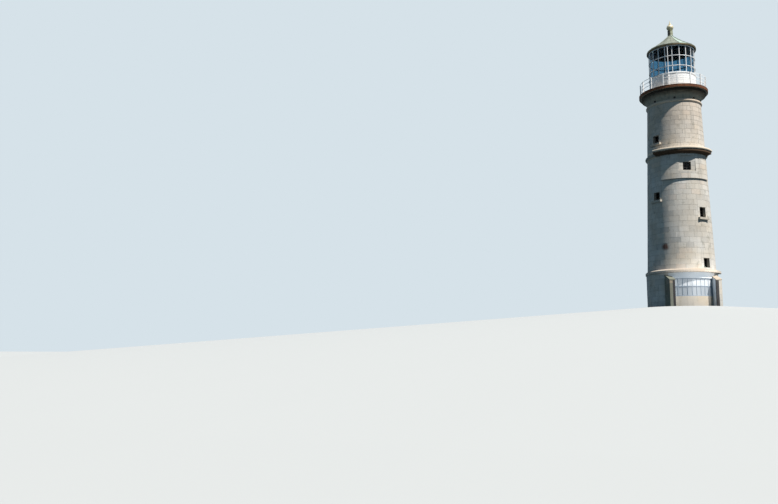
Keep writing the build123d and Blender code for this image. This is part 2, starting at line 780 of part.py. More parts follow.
# Bell-shaped copper roof in conical courses, with a standing rib over each glazing bar


def roof_slope(up):
    """Points down the sagging slope from the crown to the eave, moved up or down."""
    points = []
    for course in range(ROOF_COURSES + 1):
        share = course / ROOF_COURSES
        sag = 4 * ROOF_SAG * share * (1 - share)
        reach = VENT_PIPE_R + (EAVE_R - VENT_PIPE_R) * share
        points.append((reach, ROOF_TOP - ROOF_RISE * share - sag + up))
    return points


crown_r = VENT_PIPE_R - VENT_PIPE_T
roof_section = [(crown_r, ROOF_TOP), *roof_slope(0), *roof_slope(-ROOF_T)[::-1], (crown_r, ROOF_TOP - ROOF_T)]
rib_room = [
    (VENT_PIPE_R + RIB_SETBACK, ROOF_FOOT),
    (EAVE_R - RIB_SETBACK, ROOF_FOOT),
    (EAVE_R - RIB_SETBACK, PIPE_TOP),
    (VENT_PIPE_R + RIB_SETBACK, PIPE_TOP),
]
with BuildPart() as roof:
    for rib in range(BAR_COUNT):
        with BuildSketch(section_plane(rib * FULL_TURN / BAR_COUNT)) as section:
            with BuildLine():
                Polyline(*roof_slope(RIB_UP), *roof_slope(-ROOF_T / 2)[::-1], close=True)
            make_face()
        extrude(section.sketch, amount=RIB_W / 2, both=True)
    turned(rib_room, 0, FULL_TURN, Mode.INTERSECT)
    turned(roof_section, 0, FULL_TURN)
roof.part.label = "roof"
export_step(roof.part, "parts/roof.step")

# Vent pipe with its cap, hollow ball with collars, and spike
with BuildPart() as vent_pipe:
    arc_band(VENT_PIPE_R, VENT_PIPE_T, ROOF_TOP, PIPE_TOP - PIPE_CAP_T, 0, FULL_TURN)
    with BuildSketch(Plane.XY.offset(PIPE_TOP - PIPE_CAP_T)) as outline:
        Circle(VENT_PIPE_R)
    extrude(outline.sketch, amount=PIPE_CAP_T)
vent_pipe.part.label = "vent_pipe"
export_step(vent_pipe.part, "parts/vent_pipe.step")

with BuildPart() as finial_ball:
    with BuildSketch(Plane.XY.offset(PIPE_TOP)) as outline:
        Circle(COLLAR_R)
    extrude(outline.sketch, amount=SPIKE_FOOT - PIPE_TOP)
    with Locations((0, 0, BALL_Z)):
        Sphere(BALL_R)
        Sphere(BALL_R - BALL_T, mode=Mode.SUBTRACT)
finial_ball.part.label = "finial_ball"
export_step(finial_ball.part, "parts/finial_ball.step")

with BuildPart() as finial_spike:
    with Locations((0, 0, SPIKE_FOOT)):
        Cone(SPIKE_R, SPIKE_TIP_R, SPIKE_H, align=(Align.CENTER, Align.CENTER, Align.MIN))
finial_spike.part.label = "finial_spike"
export_step(finial_spike.part, "parts/finial_spike.step")
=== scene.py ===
import random
from math import asin, ceil, cos, degrees, floor, pi, radians, sin, sqrt

import bmesh
import bpy
from mathutils import Matrix, Vector


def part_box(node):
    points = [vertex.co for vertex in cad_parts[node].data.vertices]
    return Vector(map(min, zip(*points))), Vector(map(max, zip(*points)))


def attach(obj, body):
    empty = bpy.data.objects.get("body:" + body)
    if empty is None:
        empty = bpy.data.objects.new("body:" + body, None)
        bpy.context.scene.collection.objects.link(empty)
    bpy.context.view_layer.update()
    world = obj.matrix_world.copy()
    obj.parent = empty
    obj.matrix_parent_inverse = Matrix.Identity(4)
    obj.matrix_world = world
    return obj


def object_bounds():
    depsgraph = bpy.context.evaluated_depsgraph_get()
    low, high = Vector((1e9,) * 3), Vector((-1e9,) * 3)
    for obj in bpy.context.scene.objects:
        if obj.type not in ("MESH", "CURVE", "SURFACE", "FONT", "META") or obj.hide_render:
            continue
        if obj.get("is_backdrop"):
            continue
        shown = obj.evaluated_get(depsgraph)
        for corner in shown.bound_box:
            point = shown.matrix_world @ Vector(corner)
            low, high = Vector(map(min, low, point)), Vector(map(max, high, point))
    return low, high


# Granite lighthouse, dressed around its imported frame. Metres, +Z up, front along -Y.
# Bearings are degrees turned from the front towards +X.
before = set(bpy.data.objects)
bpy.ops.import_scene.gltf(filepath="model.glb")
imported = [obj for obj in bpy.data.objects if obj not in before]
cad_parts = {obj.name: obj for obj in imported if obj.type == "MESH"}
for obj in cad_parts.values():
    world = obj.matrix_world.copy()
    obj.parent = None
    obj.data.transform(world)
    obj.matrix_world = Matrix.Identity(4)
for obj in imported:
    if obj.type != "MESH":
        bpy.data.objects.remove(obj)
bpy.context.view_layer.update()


def foot(node):
    """Lowest level of a node."""
    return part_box(node)[0].z


def head(node):
    """Highest level of a node."""
    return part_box(node)[1].z


def far_x(node):
    """Furthest reach of a node along +X."""
    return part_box(node)[1].x


# Levels and reaches from the frame
BASE_TOP = foot("base_ledge")
LEDGE_TOP = head("base_ledge")
ROOM_FOOT = foot("room_wall_back")
HOOD_FOOT = foot("room_hood")
HOOD_TOP = head("room_hood")
SHAFT_TOP = foot("neck_torus")
NECK_TOP = head("neck_torus")
CORNICE_TOP = head("cornice")
DECK_TOP = head("gallery_deck")
RIM_FOOT = foot("gallery_rim")
RIM_TOP = head("gallery_rim")
MURETTE_TOP = head("murette")
GLAZING_FOOT = foot("lantern_bars")
GLAZING_TOP = head("lantern_bars")
ROOF_FOOT = head("eaves_gutter")
ROOF_TOP = foot("vent_pipe")
BASE_R = far_x("base_wall_right")
LEDGE_R = -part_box("base_ledge")[0].y
HOOD_R = -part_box("room_hood")[0].y
SHAFT_FOOT_R = -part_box("lower_shaft_front")[0].y
SHAFT_BAND_R = -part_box("upper_shaft_left")[0].x
RIM_R = far_x("gallery_rim")
LANTERN_R = far_x("lantern_bars")
EAVE_R = far_x("eaves_gutter")
PIPE_R = far_x("vent_pipe")

TAPER = (SHAFT_BAND_R - SHAFT_FOOT_R) / (HOOD_TOP - LEDGE_TOP)


def shaft_r(level):
    """Wall face of the tapered shaft at a level."""
    return SHAFT_FOOT_R + TAPER * (level - LEDGE_TOP)


ROOM_SWELL = -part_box("room_wall_front")[0].y - shaft_r(ROOM_FOOT)


def bow_r(level):
    """Proud face of the middle light room at a level."""
    return shaft_r(level) + ROOM_SWELL


def drum_r(level):
    """Wall face of the base drum, which is upright."""
    return BASE_R


# Finishes

# Sockets of a mix of two colours
MIX_A, MIX_B, MIX_OUT = 6, 7, 2

BLUISH_STONE = "#98A0A4"
RUSTY_STONE = "#C2A78F"
SALTED_STONE = "#CFB79F"
SALT_FROM, SALT_TO = 14.0, 20.0
LICHEN = "#777869"
OPEN_JOINT = "#4E4B44"
RAGGED = 0.24
SHEET_REFLECTION = "#BCD2C6"
PAINTED_SHADE = "#0E1013"


def srgb(code):
    """Linear colour of an sRGB hex value."""
    parts = [int(code[i:i + 2], 16) / 255 for i in (1, 3, 5)]
    return [p / 12.92 if p <= 0.04045 else ((p + 0.055) / 1.055) ** 2.4 for p in parts] + [1]


def add(tree, kind, inputs=(), **settings):
    """Add a shader node with its settings, and feed its inputs, by name or in order.

    An input is fed from a number, an sRGB hex colour, a socket, or the first output of a node.
    """
    node = tree.nodes.new(f"ShaderNode{kind}")
    for key, value in settings.items():
        setattr(node, key, value)
    fed = inputs if isinstance(inputs, dict) else dict(enumerate(inputs))
    for key, value in fed.items():
        if isinstance(value, bpy.types.Node):
            value = value.outputs[0]
        if isinstance(value, bpy.types.NodeSocket):
            tree.links.new(value, node.inputs[key])
        else:
            node.inputs[key].default_value = srgb(value) if isinstance(value, str) else value
    return node


def start_material(name):
    """A node material, its tree, and the place on the object in metres."""
    material = bpy.data.materials.new(name)
    material.use_nodes = True
    tree = material.node_tree
    tree.nodes.clear()
    return material, tree, add(tree, "TexCoord").outputs["Object"]


def patches(tree, where, a_metre, starts=0.0, ends=1.0, least=0.0, most=1.0, detail=3.0, rough=0.55, tall=1):
    """Share of a patchy pattern, which grows between two values of its noise.

    A_metre is how many patches fit in a metre. A low value of tall draws them out upright, as runs.
    """
    stretched = add(tree, "Mapping", {"Vector": where, "Scale": (1, 1, tall)})
    cloud = add(tree, "TexNoise",
                {"Vector": stretched, "Scale": a_metre, "Detail": detail, "Roughness": rough})
    return add(tree, "MapRange", (cloud, starts, ends, least, most))


def coated(tree, colour, *coats):
    """Colour under coats laid one over the other, each with its share and its shade."""
    for share, shade in coats:
        mix = add(tree, "Mix", {0: share, MIX_A: colour, MIX_B: shade}, data_type="RGBA")
        colour = mix.outputs[MIX_OUT]
    return colour


def dimmed(tree, colour, brightness):
    """Colour times a brightness."""
    grey = add(tree, "CombineColor", (brightness, brightness, brightness))
    mix = add(tree, "Mix", {0: 1.0, MIX_A: colour, MIX_B: grey}, data_type="RGBA", blend_type="MULTIPLY")
    return mix.outputs[MIX_OUT]


def steps_round(tree, where, count):
    """Bearing about the tower's axis, counted in equal steps."""
    parts = add(tree, "SeparateXYZ", (where,))
    angle = add(tree, "Math", (parts.outputs[1], parts.outputs[0]), operation="ARCTAN2")
    return add(tree, "Math", (angle, count / (2 * pi)), operation="MULTIPLY")


def radial_lines(tree, where, count):
    """Thin upright joint lines, evenly turned about the axis."""
    share = add(tree, "Math", (steps_round(tree, where, count),), operation="FRACT")
    aside = add(tree, "Math", (share, 0.5), operation="SUBTRACT")
    away = add(tree, "Math", (aside,), operation="ABSOLUTE")
    return add(tree, "MapRange", (away, 0.490, 0.496))


def sheet_shares(tree, where, count):
    """A share between 0 and 1 for each of the sheets turned about the axis."""
    sheet = add(tree, "Math", (steps_round(tree, where, count),), operation="FLOOR")
    scattered = add(tree, "Math", (sheet, 0.618), operation="MULTIPLY")
    return add(tree, "Math", (scattered,), operation="FRACT")


def finish_surface(tree, colour, settings, relief=None):
    """Surface of a colour, with its output. Relief is a height, its strength and its depth in metres."""
    inputs = {"Base Color": colour, **settings}
    if relief:
        height, strength, depth = relief
        inputs["Normal"] = add(tree, "Bump", {"Height": height, "Strength": strength, "Distance": depth})
    surface = add(tree, "BsdfPrincipled", inputs)
    add(tree, "OutputMaterial", {"Surface": surface})


def granite(name, pale, warm, dark, tinted=False, joints=0, stain_shade_and_light_bands=(), spot=None):
    """Dressed granite: pale speckled crystal with warm iron staining, rain streaks and lichen.

    The crystal is 5 to 10 mm, too fine to show. Its speckle is drawn 65 mm wide, and its relief 110 mm.
    Each band has two levels between which its colour begins to cover the stone, that colour and its share. On
    the cove a band is rust run-off and painted shade under the rim together; on the hood the bands are
    painted shade under the lip and painted light on its top.
    Spot is the centre, the reach and the colour of a single mark: a rust stain on the shaft, painted shade on
    the left coping.
    """
    material, tree, where = start_material(name)
    level = add(tree, "SeparateXYZ", (where,)).outputs[2]
    colour = coated(tree, pale, (patches(tree, where, 0.42, 0.38, 0.66, detail=4), warm))
    if tinted:
        tint = add(tree, "Attribute", attribute_name="tint").outputs["Fac"]
        colour = dimmed(tree, colour, add(tree, "MapRange", (tint, 0.0, 1.0, 0.86, 1.06)))
        bluish = add(tree, "MapRange", (tint, 0.0, 0.14, 0.35, 0.0))
        rusty = add(tree, "MapRange", (tint, 0.88, 1.0, 0.0, 0.30))
        colour = coated(tree, colour, (bluish, BLUISH_STONE), (rusty, RUSTY_STONE))
    salted = add(tree, "MapRange", (level, SALT_FROM, SALT_TO, 0.0, 0.40))
    colour = coated(tree, colour, (salted, SALTED_STONE))
    colour = dimmed(tree, colour, patches(tree, where, 15, 0.3, 0.7, 0.88, 1.07, 4, 0.7))
    streaks = patches(tree, where, 2.6, 0.54, 0.74, 0.0, 0.42, 4, 0.6, 0.10)
    lichen = patches(tree, where, 1.5, 0.58, 0.67, 0.0, 0.36, 6, 0.65)
    colour = coated(tree, colour, (streaks, dark), (lichen, LICHEN))
    if joints:
        colour = coated(tree, colour, (radial_lines(tree, where, joints), OPEN_JOINT))
    # Bands of colour above a level: rust stains, painted shade and painted light
    for low, high, shade, share in stain_shade_and_light_bands:
        cloud = patches(tree, where, 3.0, detail=5)
        ragged = add(tree, "Math", (cloud, RAGGED, level), operation="MULTIPLY_ADD")
        stain_and_shade = add(tree, "MapRange", (ragged, low + RAGGED / 2, high + RAGGED / 2, 0.0, share))
        colour = coated(tree, colour, (stain_and_shade, shade))
    if spot:
        centre, reach, shade = spot
        away = add(tree, "VectorMath", (where, centre), operation="DISTANCE").outputs["Value"]
        cloud = patches(tree, where, 4.0, detail=5)
        wavy = add(tree, "Math", (cloud, 0.3, away), operation="MULTIPLY_ADD")
        stain_and_shade = add(tree, "MapRange", (wavy, reach, reach + 0.25, 0.88, 0.0))
        colour = coated(tree, colour, (stain_and_shade, shade))
    grain = patches(tree, where, 9, detail=6, rough=0.7)
    finish_surface(tree, colour, {"Roughness": 0.88, "Specular IOR Level": 0.3}, (grain, 0.35, 0.02))
    return material


def lime_mortar(name, grey, pale):
    """Lime mortar and stone beds between the faces: matt and greyer, which draws the joints.

    Its sand is about 2 mm, too fine to show, so its relief is drawn about 70 mm wide.
    """
    material, tree, where = start_material(name)
    colour = coated(tree, grey, (patches(tree, where, 2.0), pale))
    finish_surface(tree, colour, {"Roughness": 0.95, "Specular IOR Level": 0.2},
                   (patches(tree, where, 14), 0.4, 0.01))
    return material


def painted(name, pale, worn, beneath, gloss, flake, runs_colour, runs_share=0.3):
    """Oil paint or limewash, brushed on: chalked in places, with stains running down from joints.

    Brush marks are about 1 mm, too fine to show, so their relief is drawn about 45 mm wide.
    """
    material, tree, where = start_material(name)
    chalked = patches(tree, where, 1.1, 0.35, 0.7)
    runs = patches(tree, where, 5, 0.60, 0.78, 0.0, runs_share, 4, 0.6, 0.14)
    chipped = patches(tree, where, 7, flake, flake + 0.03, detail=6, rough=0.7)
    colour = coated(tree, pale, (chalked, worn), (runs, runs_colour), (chipped, beneath))
    dulled = patches(tree, where, 4, 0.3, 0.7, gloss, gloss + 0.2)
    finish_surface(tree, colour, {"Roughness": dulled}, (patches(tree, where, 22), 0.12, 0.004))
    return material


def weathered_metal(name, base, patina, dark, metallic, rough, a_metre=2.4, runs_share=0.5, sheets=0,
                    shaded_bearing=None):
    """Weathered metal: one patina over another, with darker water runs and a dull sheen.

    Its pits are about 3 mm, too fine to show, so their relief is drawn about 75 mm wide.
    Sheets counts the sheets round the axis: each is a little lighter or darker at random, and a few are
    paler, a painted reflection. Shaded_bearing is the bearing of the side that is darkened as painted shade.
    """
    material, tree, where = start_material(name)
    colour = coated(tree, base, (patches(tree, where, a_metre, 0.38, 0.66, detail=5), patina))
    if sheets:
        share = sheet_shares(tree, where, sheets)
        colour = dimmed(tree, colour, add(tree, "MapRange", (share, 0.0, 0.8, 0.80, 1.05)))
        # A few sheets are paler: painted reflection
        reflecting_share = add(tree, "MapRange", (share, 0.80, 0.92, 0.0, 0.75))
        colour = coated(tree, colour, (reflecting_share, SHEET_REFLECTION))
    # Painted shade on one side of the piece
    if shaded_bearing is not None:
        towards = (sin(radians(shaded_bearing)), -cos(radians(shaded_bearing)), 0)
        reach = add(tree, "VectorMath", (where, towards), operation="DOT_PRODUCT")
        shade_share = add(tree, "MapRange", (reach.outputs["Value"], -0.03, 0.03, 0.0, 0.92))
        colour = coated(tree, colour, (shade_share, PAINTED_SHADE))
    runs = patches(tree, where, 3.2, 0.5, 0.72, 0.0, runs_share, 5, 0.62, 0.16)
    colour = coated(tree, colour, (runs, dark))
    pits = patches(tree, where, 13, detail=5, rough=0.7)
    finish_surface(tree, colour, {"Metallic": metallic, "Roughness": rough}, (pits, 0.3, 0.008))
    return material


def glass(name, tint, rough, clear, bend=1.45):
    """Drawn sheet glass: faintly coloured, smooth, with a little salt haze where it is rougher."""
    material, tree = start_material(name)[:2]
    finish_surface(tree, tint, {"Roughness": rough, "Transmission Weight": clear, "IOR": bend})
    return material


STAIN_TURN = radians(-46)
STAIN_LEVEL = 5.75
STAIN_PLACE = (shaft_r(STAIN_LEVEL) * sin(STAIN_TURN), -shaft_r(STAIN_LEVEL) * cos(STAIN_TURN), STAIN_LEVEL)
LEFT_COPING_SHADE = (-2.15, -2.9, 2.8)
STONE = granite("coursed_granite_ashlar", "#D8D5CE", "#CEC5B6", "#8B8A84", tinted=True,
                spot=(STAIN_PLACE, 0.33, "#5E3422"))
# Left cheek stone: darker and greener than the other granite, painted shade on faces that the sun reaches
SHADED_CHEEK_STONE = granite("shade_darkened_granite_block", "#7E847A", "#7A776A", "#5B5F56", tinted=True)
DRESSED = granite("dressed_granite_band", "#E6D9C8", "#E2CFB5", "#A0978A", tinted=True)
LEDGE_STONE = granite("dressed_granite_ledge", "#DDD1C2", "#D8C7B4", "#B5AA9B", tinted=True)
HAUNCHING = granite("smooth_lime_haunching", "#B9AEA2", "#B3A493", "#9A9084")
# Hood stone: from its foot up a dark brown band, painted shade under the lip, then a cream band over the lip,
# painted light
HOOD_STONE = granite("dressed_granite_hood", "#A8A498", "#A39A88", "#6B675D", tinted=True,
                     stain_shade_and_light_bands=[(HOOD_FOOT - 0.02, HOOD_FOOT + 0.04, "#4A3420", 0.95),
                           (HOOD_TOP - 0.31, HOOD_TOP - 0.24, "#D9CBB7", 1.0)])
PLAIN = granite("dressed_granite_slab", "#C2BBB0", "#BDB09C", "#858074")
# Copings: a darker grey-green patch over the left coping is painted shade
COPING = granite("dressed_granite_coping", "#BDB3A5", "#B8A894", "#7F7A6F",
                 spot=(LEFT_COPING_SHADE, 1.0, "#666C60"))
SILL = granite("dressed_granite_sill", "#C4C0B6", "#BFB5A5", "#8F897D")
# Cove stone: a near-black band under the gallery rim, rust staining and painted shade under the rim together
COVE = granite("dressed_granite_cove", "#9A9C8F", "#97947F", "#5F6358", joints=24,
               stain_shade_and_light_bands=[(CORNICE_TOP - 0.62, CORNICE_TOP - 0.22, "#2E2318", 0.94)])
FLAGS = granite("worn_stone_flags", "#9B978D", "#A39781", "#6A675E", joints=12)
BACKING = lime_mortar("weathered_lime_mortar", "#9C978D", "#AFA99D")
LIMEWASH = painted("limewash_on_granite", "#EEF2F5", "#DEE5EA", "#A8A294", 0.8, 0.64, "#9C9A8F")
WHITE_TIMBER = painted("white_gloss_paint_on_timber", "#D9DDE0", "#CDD2D6", "#8F8879", 0.35, 0.72, "#A9A79F")
GREY_TIMBER = painted("blue_grey_paint_on_timber", "#8A97A4", "#9AA6B1", "#8F8879", 0.45, 0.72, "#6C757F")
DARK_TIMBER = painted("dark_oil_paint_on_timber", "#130F11", "#1C1719", "#3E332B", 0.5, 0.70, "#0C0A0B")
WHITE_IRON = painted("white_gloss_paint_on_iron", "#FAFAF9", "#F0F1F1", "#9A5B3A", 0.3, 0.74, "#CDB196", 0.18)
RUSTED = weathered_metal("rusted_cast_iron", "#5F3521", "#80502D", "#22150F", 0.0, 0.9, 3.0, 0.85)
# Roof copper: sheets a little lighter or darker at random, and a few paler ones that are a painted reflection
VERDIGRIS = weathered_metal("verdigris_sheet_copper", "#7F857A", "#93998A", "#5D6358", 0.0, 0.55, 1.6,
                            sheets=20)
GUTTER = weathered_metal("brown_sheet_copper", "#54482E", "#75663F", "#2E2618", 0.25, 0.55)
# Vent pipe: its left side is darkened, painted shade
PIPE = weathered_metal("weathered_sheet_copper_pipe", "#A9AD92", "#8F8F74", "#53503F", 0.0, 0.6, shaded_bearing=-110)
GILT = weathered_metal("dull_gilt_copper", "#E2D8BC", "#CFC094", "#8A7748", 0.15, 0.45, 4.0, 0.35)
DARK_IRON = weathered_metal("black_painted_iron", "#0F0F12", "#18181B", "#2A2019", 0.0, 0.6, 3.0, 0.4)
# Both clear glasses bend less than glass does, which keeps the mirror image of the pale surround faint
WINDOW_GLASS = glass("old_window_glass", "#66767A", 0.06, 1.0, 1.2)
SCREEN_GLASS = glass("salt_whitened_glass", "#AEB6BD", 0.45, 0.2)
# The lantern glass's blue tint is painted sky, seen through the lantern
SKY_TINTED_LANTERN_GLASS = glass("sky_tinted_lantern_glass", "#88B0C5", 0.02, 1.0, 1.14)

CAD_FINISHES = {
    BACKING: ["base_wall_left", "base_wall_right", "door_lintel", "cheek_wall_left", "cheek_wall_right",
              "lower_shaft_front", "lower_shaft_left", "lower_shaft_back", "lower_shaft_right",
              "room_wall_front", "room_wall_back", "upper_shaft_left", "upper_shaft_right",
              "neck_torus", "base_ledge", "room_string"],
    HOOD_STONE: ["room_hood"],
    PLAIN: ["screen_apron", "door_step"],
    SILL: ["window_sills"],
    COPING: ["cheek_copings"],
    COVE: ["cornice"],
    FLAGS: ["ground_floor", "room_floor", "gallery_deck"],
    LIMEWASH: ["light_lintel"],
    GREY_TIMBER: ["screen_frame", "screen_boards"],
    DARK_TIMBER: ["jamb_posts", "entrance_door", "door_frame", "window_frames"],
    WINDOW_GLASS: ["window_glass"],
    SCREEN_GLASS: ["screen_glass"],
    RUSTED: ["gallery_rim"],
    WHITE_IRON: ["railing_stanchions", "railing_rails", "murette", "lantern_curb", "lantern_bars"],
    SKY_TINTED_LANTERN_GLASS: ["lantern_glass"],
    GUTTER: ["eaves_gutter"],
    VERDIGRIS: ["roof"],
    PIPE: ["vent_pipe"],
    GILT: ["finial_ball", "finial_spike"],
}
for finish, nodes in CAD_FINISHES.items():
    for node in nodes:
        for material_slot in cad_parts[node].material_slots:
            material_slot.material = finish


# Making pieces

SMOOTH_UNDER = radians(32)
SHARP_OVER = 0.6
SQUARE_OVER = 1.0
SMALL_ARRIS = 0.004
RING_STEPS = 96


def put_in_scene(name, data):
    """New object that holds some data, at the origin."""
    made = bpy.data.objects.new(name, data)
    bpy.context.collection.objects.link(made)
    return made


def close_mesh(name, bm, material):
    """Mesh of one finish from a bmesh."""
    mesh = bpy.data.meshes.new(name)
    bm.to_mesh(mesh)
    bm.free()
    mesh.materials.append(material)
    return mesh


def make_piece(name, bm, material):
    """Close a bmesh into a named piece that rides on the tower."""
    mesh = close_mesh(name, bm, material)
    mesh.polygons.foreach_set("use_smooth", [True] * len(mesh.polygons))
    mesh.set_sharp_from_angle(angle=SMOOTH_UNDER)
    piece = put_in_scene(name, mesh)
    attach(piece, "root")


def start_stones():
    """An empty bmesh, and the layer that holds the tint of each stone."""
    bm = bmesh.new()
    return bm, bm.faces.layers.float.new("tint")


def tint_stone(verts, tints, tint):
    """Give all the faces of a stone one tint."""
    for vert in verts:
        for face in vert.link_faces:
            face[tints] = tint


def on_bearing(bearing, reach=0.0, level=0.0):
    """Matrix that puts x along the wall, y up and z outwards at a bearing."""
    turn = radians(bearing)
    out = Vector((sin(turn), -cos(turn), 0))
    along = Vector((cos(turn), sin(turn), 0))
    up = Vector((0, 0, 1))
    place = Matrix((along, up, out)).transposed().to_4x4()
    place.translation = out * reach + up * level
    return place


def add_box(bm, place, low, high):
    """Box between two corners in a placed frame."""
    low, high = Vector(low), Vector(high)
    size = high - low
    shape = Matrix.Translation((low + high) / 2) @ Matrix.Diagonal((*size, 1))
    return bmesh.ops.create_cube(bm, size=1, matrix=place @ shape)["verts"]


def bevel_edges(bm, edges, width):
    """Cut a flat bevel of a width along some edges."""
    bmesh.ops.bevel(bm, geom=edges, offset=width, offset_type="OFFSET", segments=1, profile=0.5,
                    affect="EDGES", material=-1)


def ease_arrises(bm, width, sharper=SHARP_OVER):
    """Bevel every edge that turns more than an angle."""
    bevel_edges(bm, [e for e in bm.edges if e.is_manifold and e.calc_face_angle() > sharper], width)


def spin_about_axis(bm, geometry, turn, steps, closed):
    """Spin geometry about the tower's axis. A closed spin joins its end to its start."""
    bmesh.ops.spin(bm, geom=geometry, cent=(0, 0, 0), axis=(0, 0, 1), dvec=(0, 0, 0), angle=turn,
                   steps=steps, use_merge=closed, use_normal_flip=False, use_duplicate=False)


def add_full_ring(bm, line, steps=RING_STEPS, closed=True):
    """Spin a line of reaches and levels right round. A closed line joins its last point to its first."""
    verts = [bm.verts.new((reach, 0, level)) for reach, level in line]
    ends = verts[1:] + verts[:1] if closed else verts[1:]
    edges = [bm.edges.new(pair) for pair in zip(verts, ends)]
    spin_about_axis(bm, verts + edges, 2 * pi, steps, closed=True)


# Coursed stones on the round walls. CLEAR_OF_GAP and SHORTEST are degrees, SLIP is a share of a stone's
# length and ON_JOINT one of a course's rise.

JOINT = 0.015
ARRIS = 0.007
PROUD = 0.012
UNEVEN = 0.003
SUNK = 0.03
RING_START = 150
CLEAR_OF_GAP = 5.0
SHORTEST = 1
STONES_ROUND = 20
SLIP = 0.16
ON_JOINT = 0.02
BENT_LENGTH = 0.3
BEND_CUTS = 3


class Coursing:
    """Stones of one round wall.

    They are laid flat first: x runs along the wall, y is the level and z stands off the face.
    """

    def __init__(self, name, radius_at, low, high, courses, seed, sunk=SUNK):
        self.name = name
        self.sunk = sunk
        self.radius_at = radius_at
        self.low = low
        self.rise = (high - low) / courses
        self.courses = courses
        self.middle_r = radius_at((low + high) / 2)
        self.random = random.Random(seed)
        self.bm, self.tints = start_stones()
        self.gaps = []

    def level_below(self, level):
        """Course joint at or below a level."""
        return self.low + floor((level - self.low) / self.rise + ON_JOINT) * self.rise

    def level_above(self, level):
        """Course joint at or above a level."""
        return self.low + ceil((level - self.low) / self.rise - ON_JOINT) * self.rise

    def lay(self, left, right, low, high):
        """One stone between two bearings and two levels."""
        flat = radians(1) * self.middle_r
        proud = PROUD + self.random.uniform(-UNEVEN, UNEVEN)
        stone = add_box(self.bm, Matrix(),
                        (left * flat + JOINT / 2, low + JOINT / 2, -self.sunk),
                        (right * flat - JOINT / 2, high - JOINT / 2, proud))
        tint_stone(stone, self.tints, self.random.random())

    def leave(self, bearing, half_width, low, high):
        """Keep the plain courses out of a patch."""
        half = degrees(asin(half_width / self.middle_r))
        middle = bearing if bearing > RING_START else bearing + 360
        self.gaps.append((middle - half, middle + half, low, high))
        return middle - half, middle + half

    def lay_courses(self):
        """Lay every course, half a stone over the one below, up to the patches left out."""
        step = 360 / STONES_ROUND
        for course in range(self.courses):
            low = self.low + course * self.rise
            high = low + self.rise
            middle = (low + high) / 2
            gaps = [(a, b) for a, b, gap_low, gap_high in self.gaps if gap_low < middle < gap_high]
            shift = 0.5 * (course % 2)
            cuts = []
            for stone in range(STONES_ROUND):
                slip = self.random.uniform(-SLIP, SLIP)
                cuts.append(RING_START + (stone + shift + slip) * step)
            cuts = [c for c in cuts if all(c < a - CLEAR_OF_GAP or c > b + CLEAR_OF_GAP for a, b in gaps)]
            cuts = sorted(cuts + [edge for gap in gaps for edge in gap])
            for left, right in zip(cuts, cuts[1:] + [cuts[0] + 360]):
                centre = (left + right) / 2
                if right - left > SHORTEST and not any(a < centre < b for a, b in gaps):
                    self.lay(left, right, low, high)

    def finish(self, material, slot):
        """Ease the arrises, bend the stones round the wall and make them one piece."""
        bm = self.bm
        bent = [e for e in bm.edges if abs(e.verts[0].co.x - e.verts[1].co.x) > BENT_LENGTH]
        bmesh.ops.subdivide_edges(bm, edges=bent, cuts=BEND_CUTS, use_grid_fill=True)
        rims = []
        for edge in bm.edges:
            fronts = [face for face in edge.link_faces if face.normal.z > 0.5]
            if len(edge.link_faces) == 2 and len(fronts) == 1:
                rims.append(edge)
        bevel_edges(bm, rims, ARRIS)
        for vert in bm.verts:
            reach = self.radius_at(vert.co.y) + vert.co.z
            turn = vert.co.x / self.middle_r
            vert.co = Vector((reach * sin(turn), -reach * cos(turn), vert.co.y))
        bmesh.ops.recalc_face_normals(bm, faces=bm.faces)
        make_piece(self.name, bm, material)


# Windows as the frame has them: bearing, level of the sill, height, and rise of the sill stone
STAIR_TURN = 27.5
WINDOW_HALF = 0.375
SURROUND_HALF = 0.615
SILL_H = 0.2
LINTEL_LEAST = 0.22
BED_LEAST = 0.1
LOW_WINDOW = (STAIR_TURN, LEDGE_TOP + 0.2, 0.9, 0.0)
MIDDLE_WINDOW = (STAIR_TURN, LEDGE_TOP + 5.0, 1.0, SILL_H)
SIDE_WINDOW = (STAIR_TURN - 90, LEDGE_TOP + 6.9, 0.8, SILL_H)
UPPER_WINDOW = (STAIR_TURN - 90, HOOD_TOP + 0.73, 0.8, SILL_H)
ROOM_WINDOW = (0, ROOM_FOOT + 0.82, 0.8, 0.0)


def dress_window(coursing, window):
    """Lintel, jamb stones and bed stone round a window, on both sides of the tower."""
    bearing, sill, height, sill_h = window
    for turned in (bearing, bearing + 180):
        low = coursing.level_below(sill - sill_h)
        high = coursing.level_above(sill + height + LINTEL_LEAST)
        left, right = coursing.leave(turned, SURROUND_HALF, low, high)
        middle = (left + right) / 2
        inner = degrees(asin(WINDOW_HALF / coursing.radius_at(sill)))
        if sill - sill_h - low > BED_LEAST:
            coursing.lay(left, right, low, sill - sill_h)
        coursing.lay(left, right, sill + height, high)
        half_height = sill + height / 2
        for jamb_low, jamb_high in ((sill, half_height), (half_height, sill + height)):
            coursing.lay(left, middle - inner, jamb_low, jamb_high)
            coursing.lay(middle + inner, right, jamb_low, jamb_high)


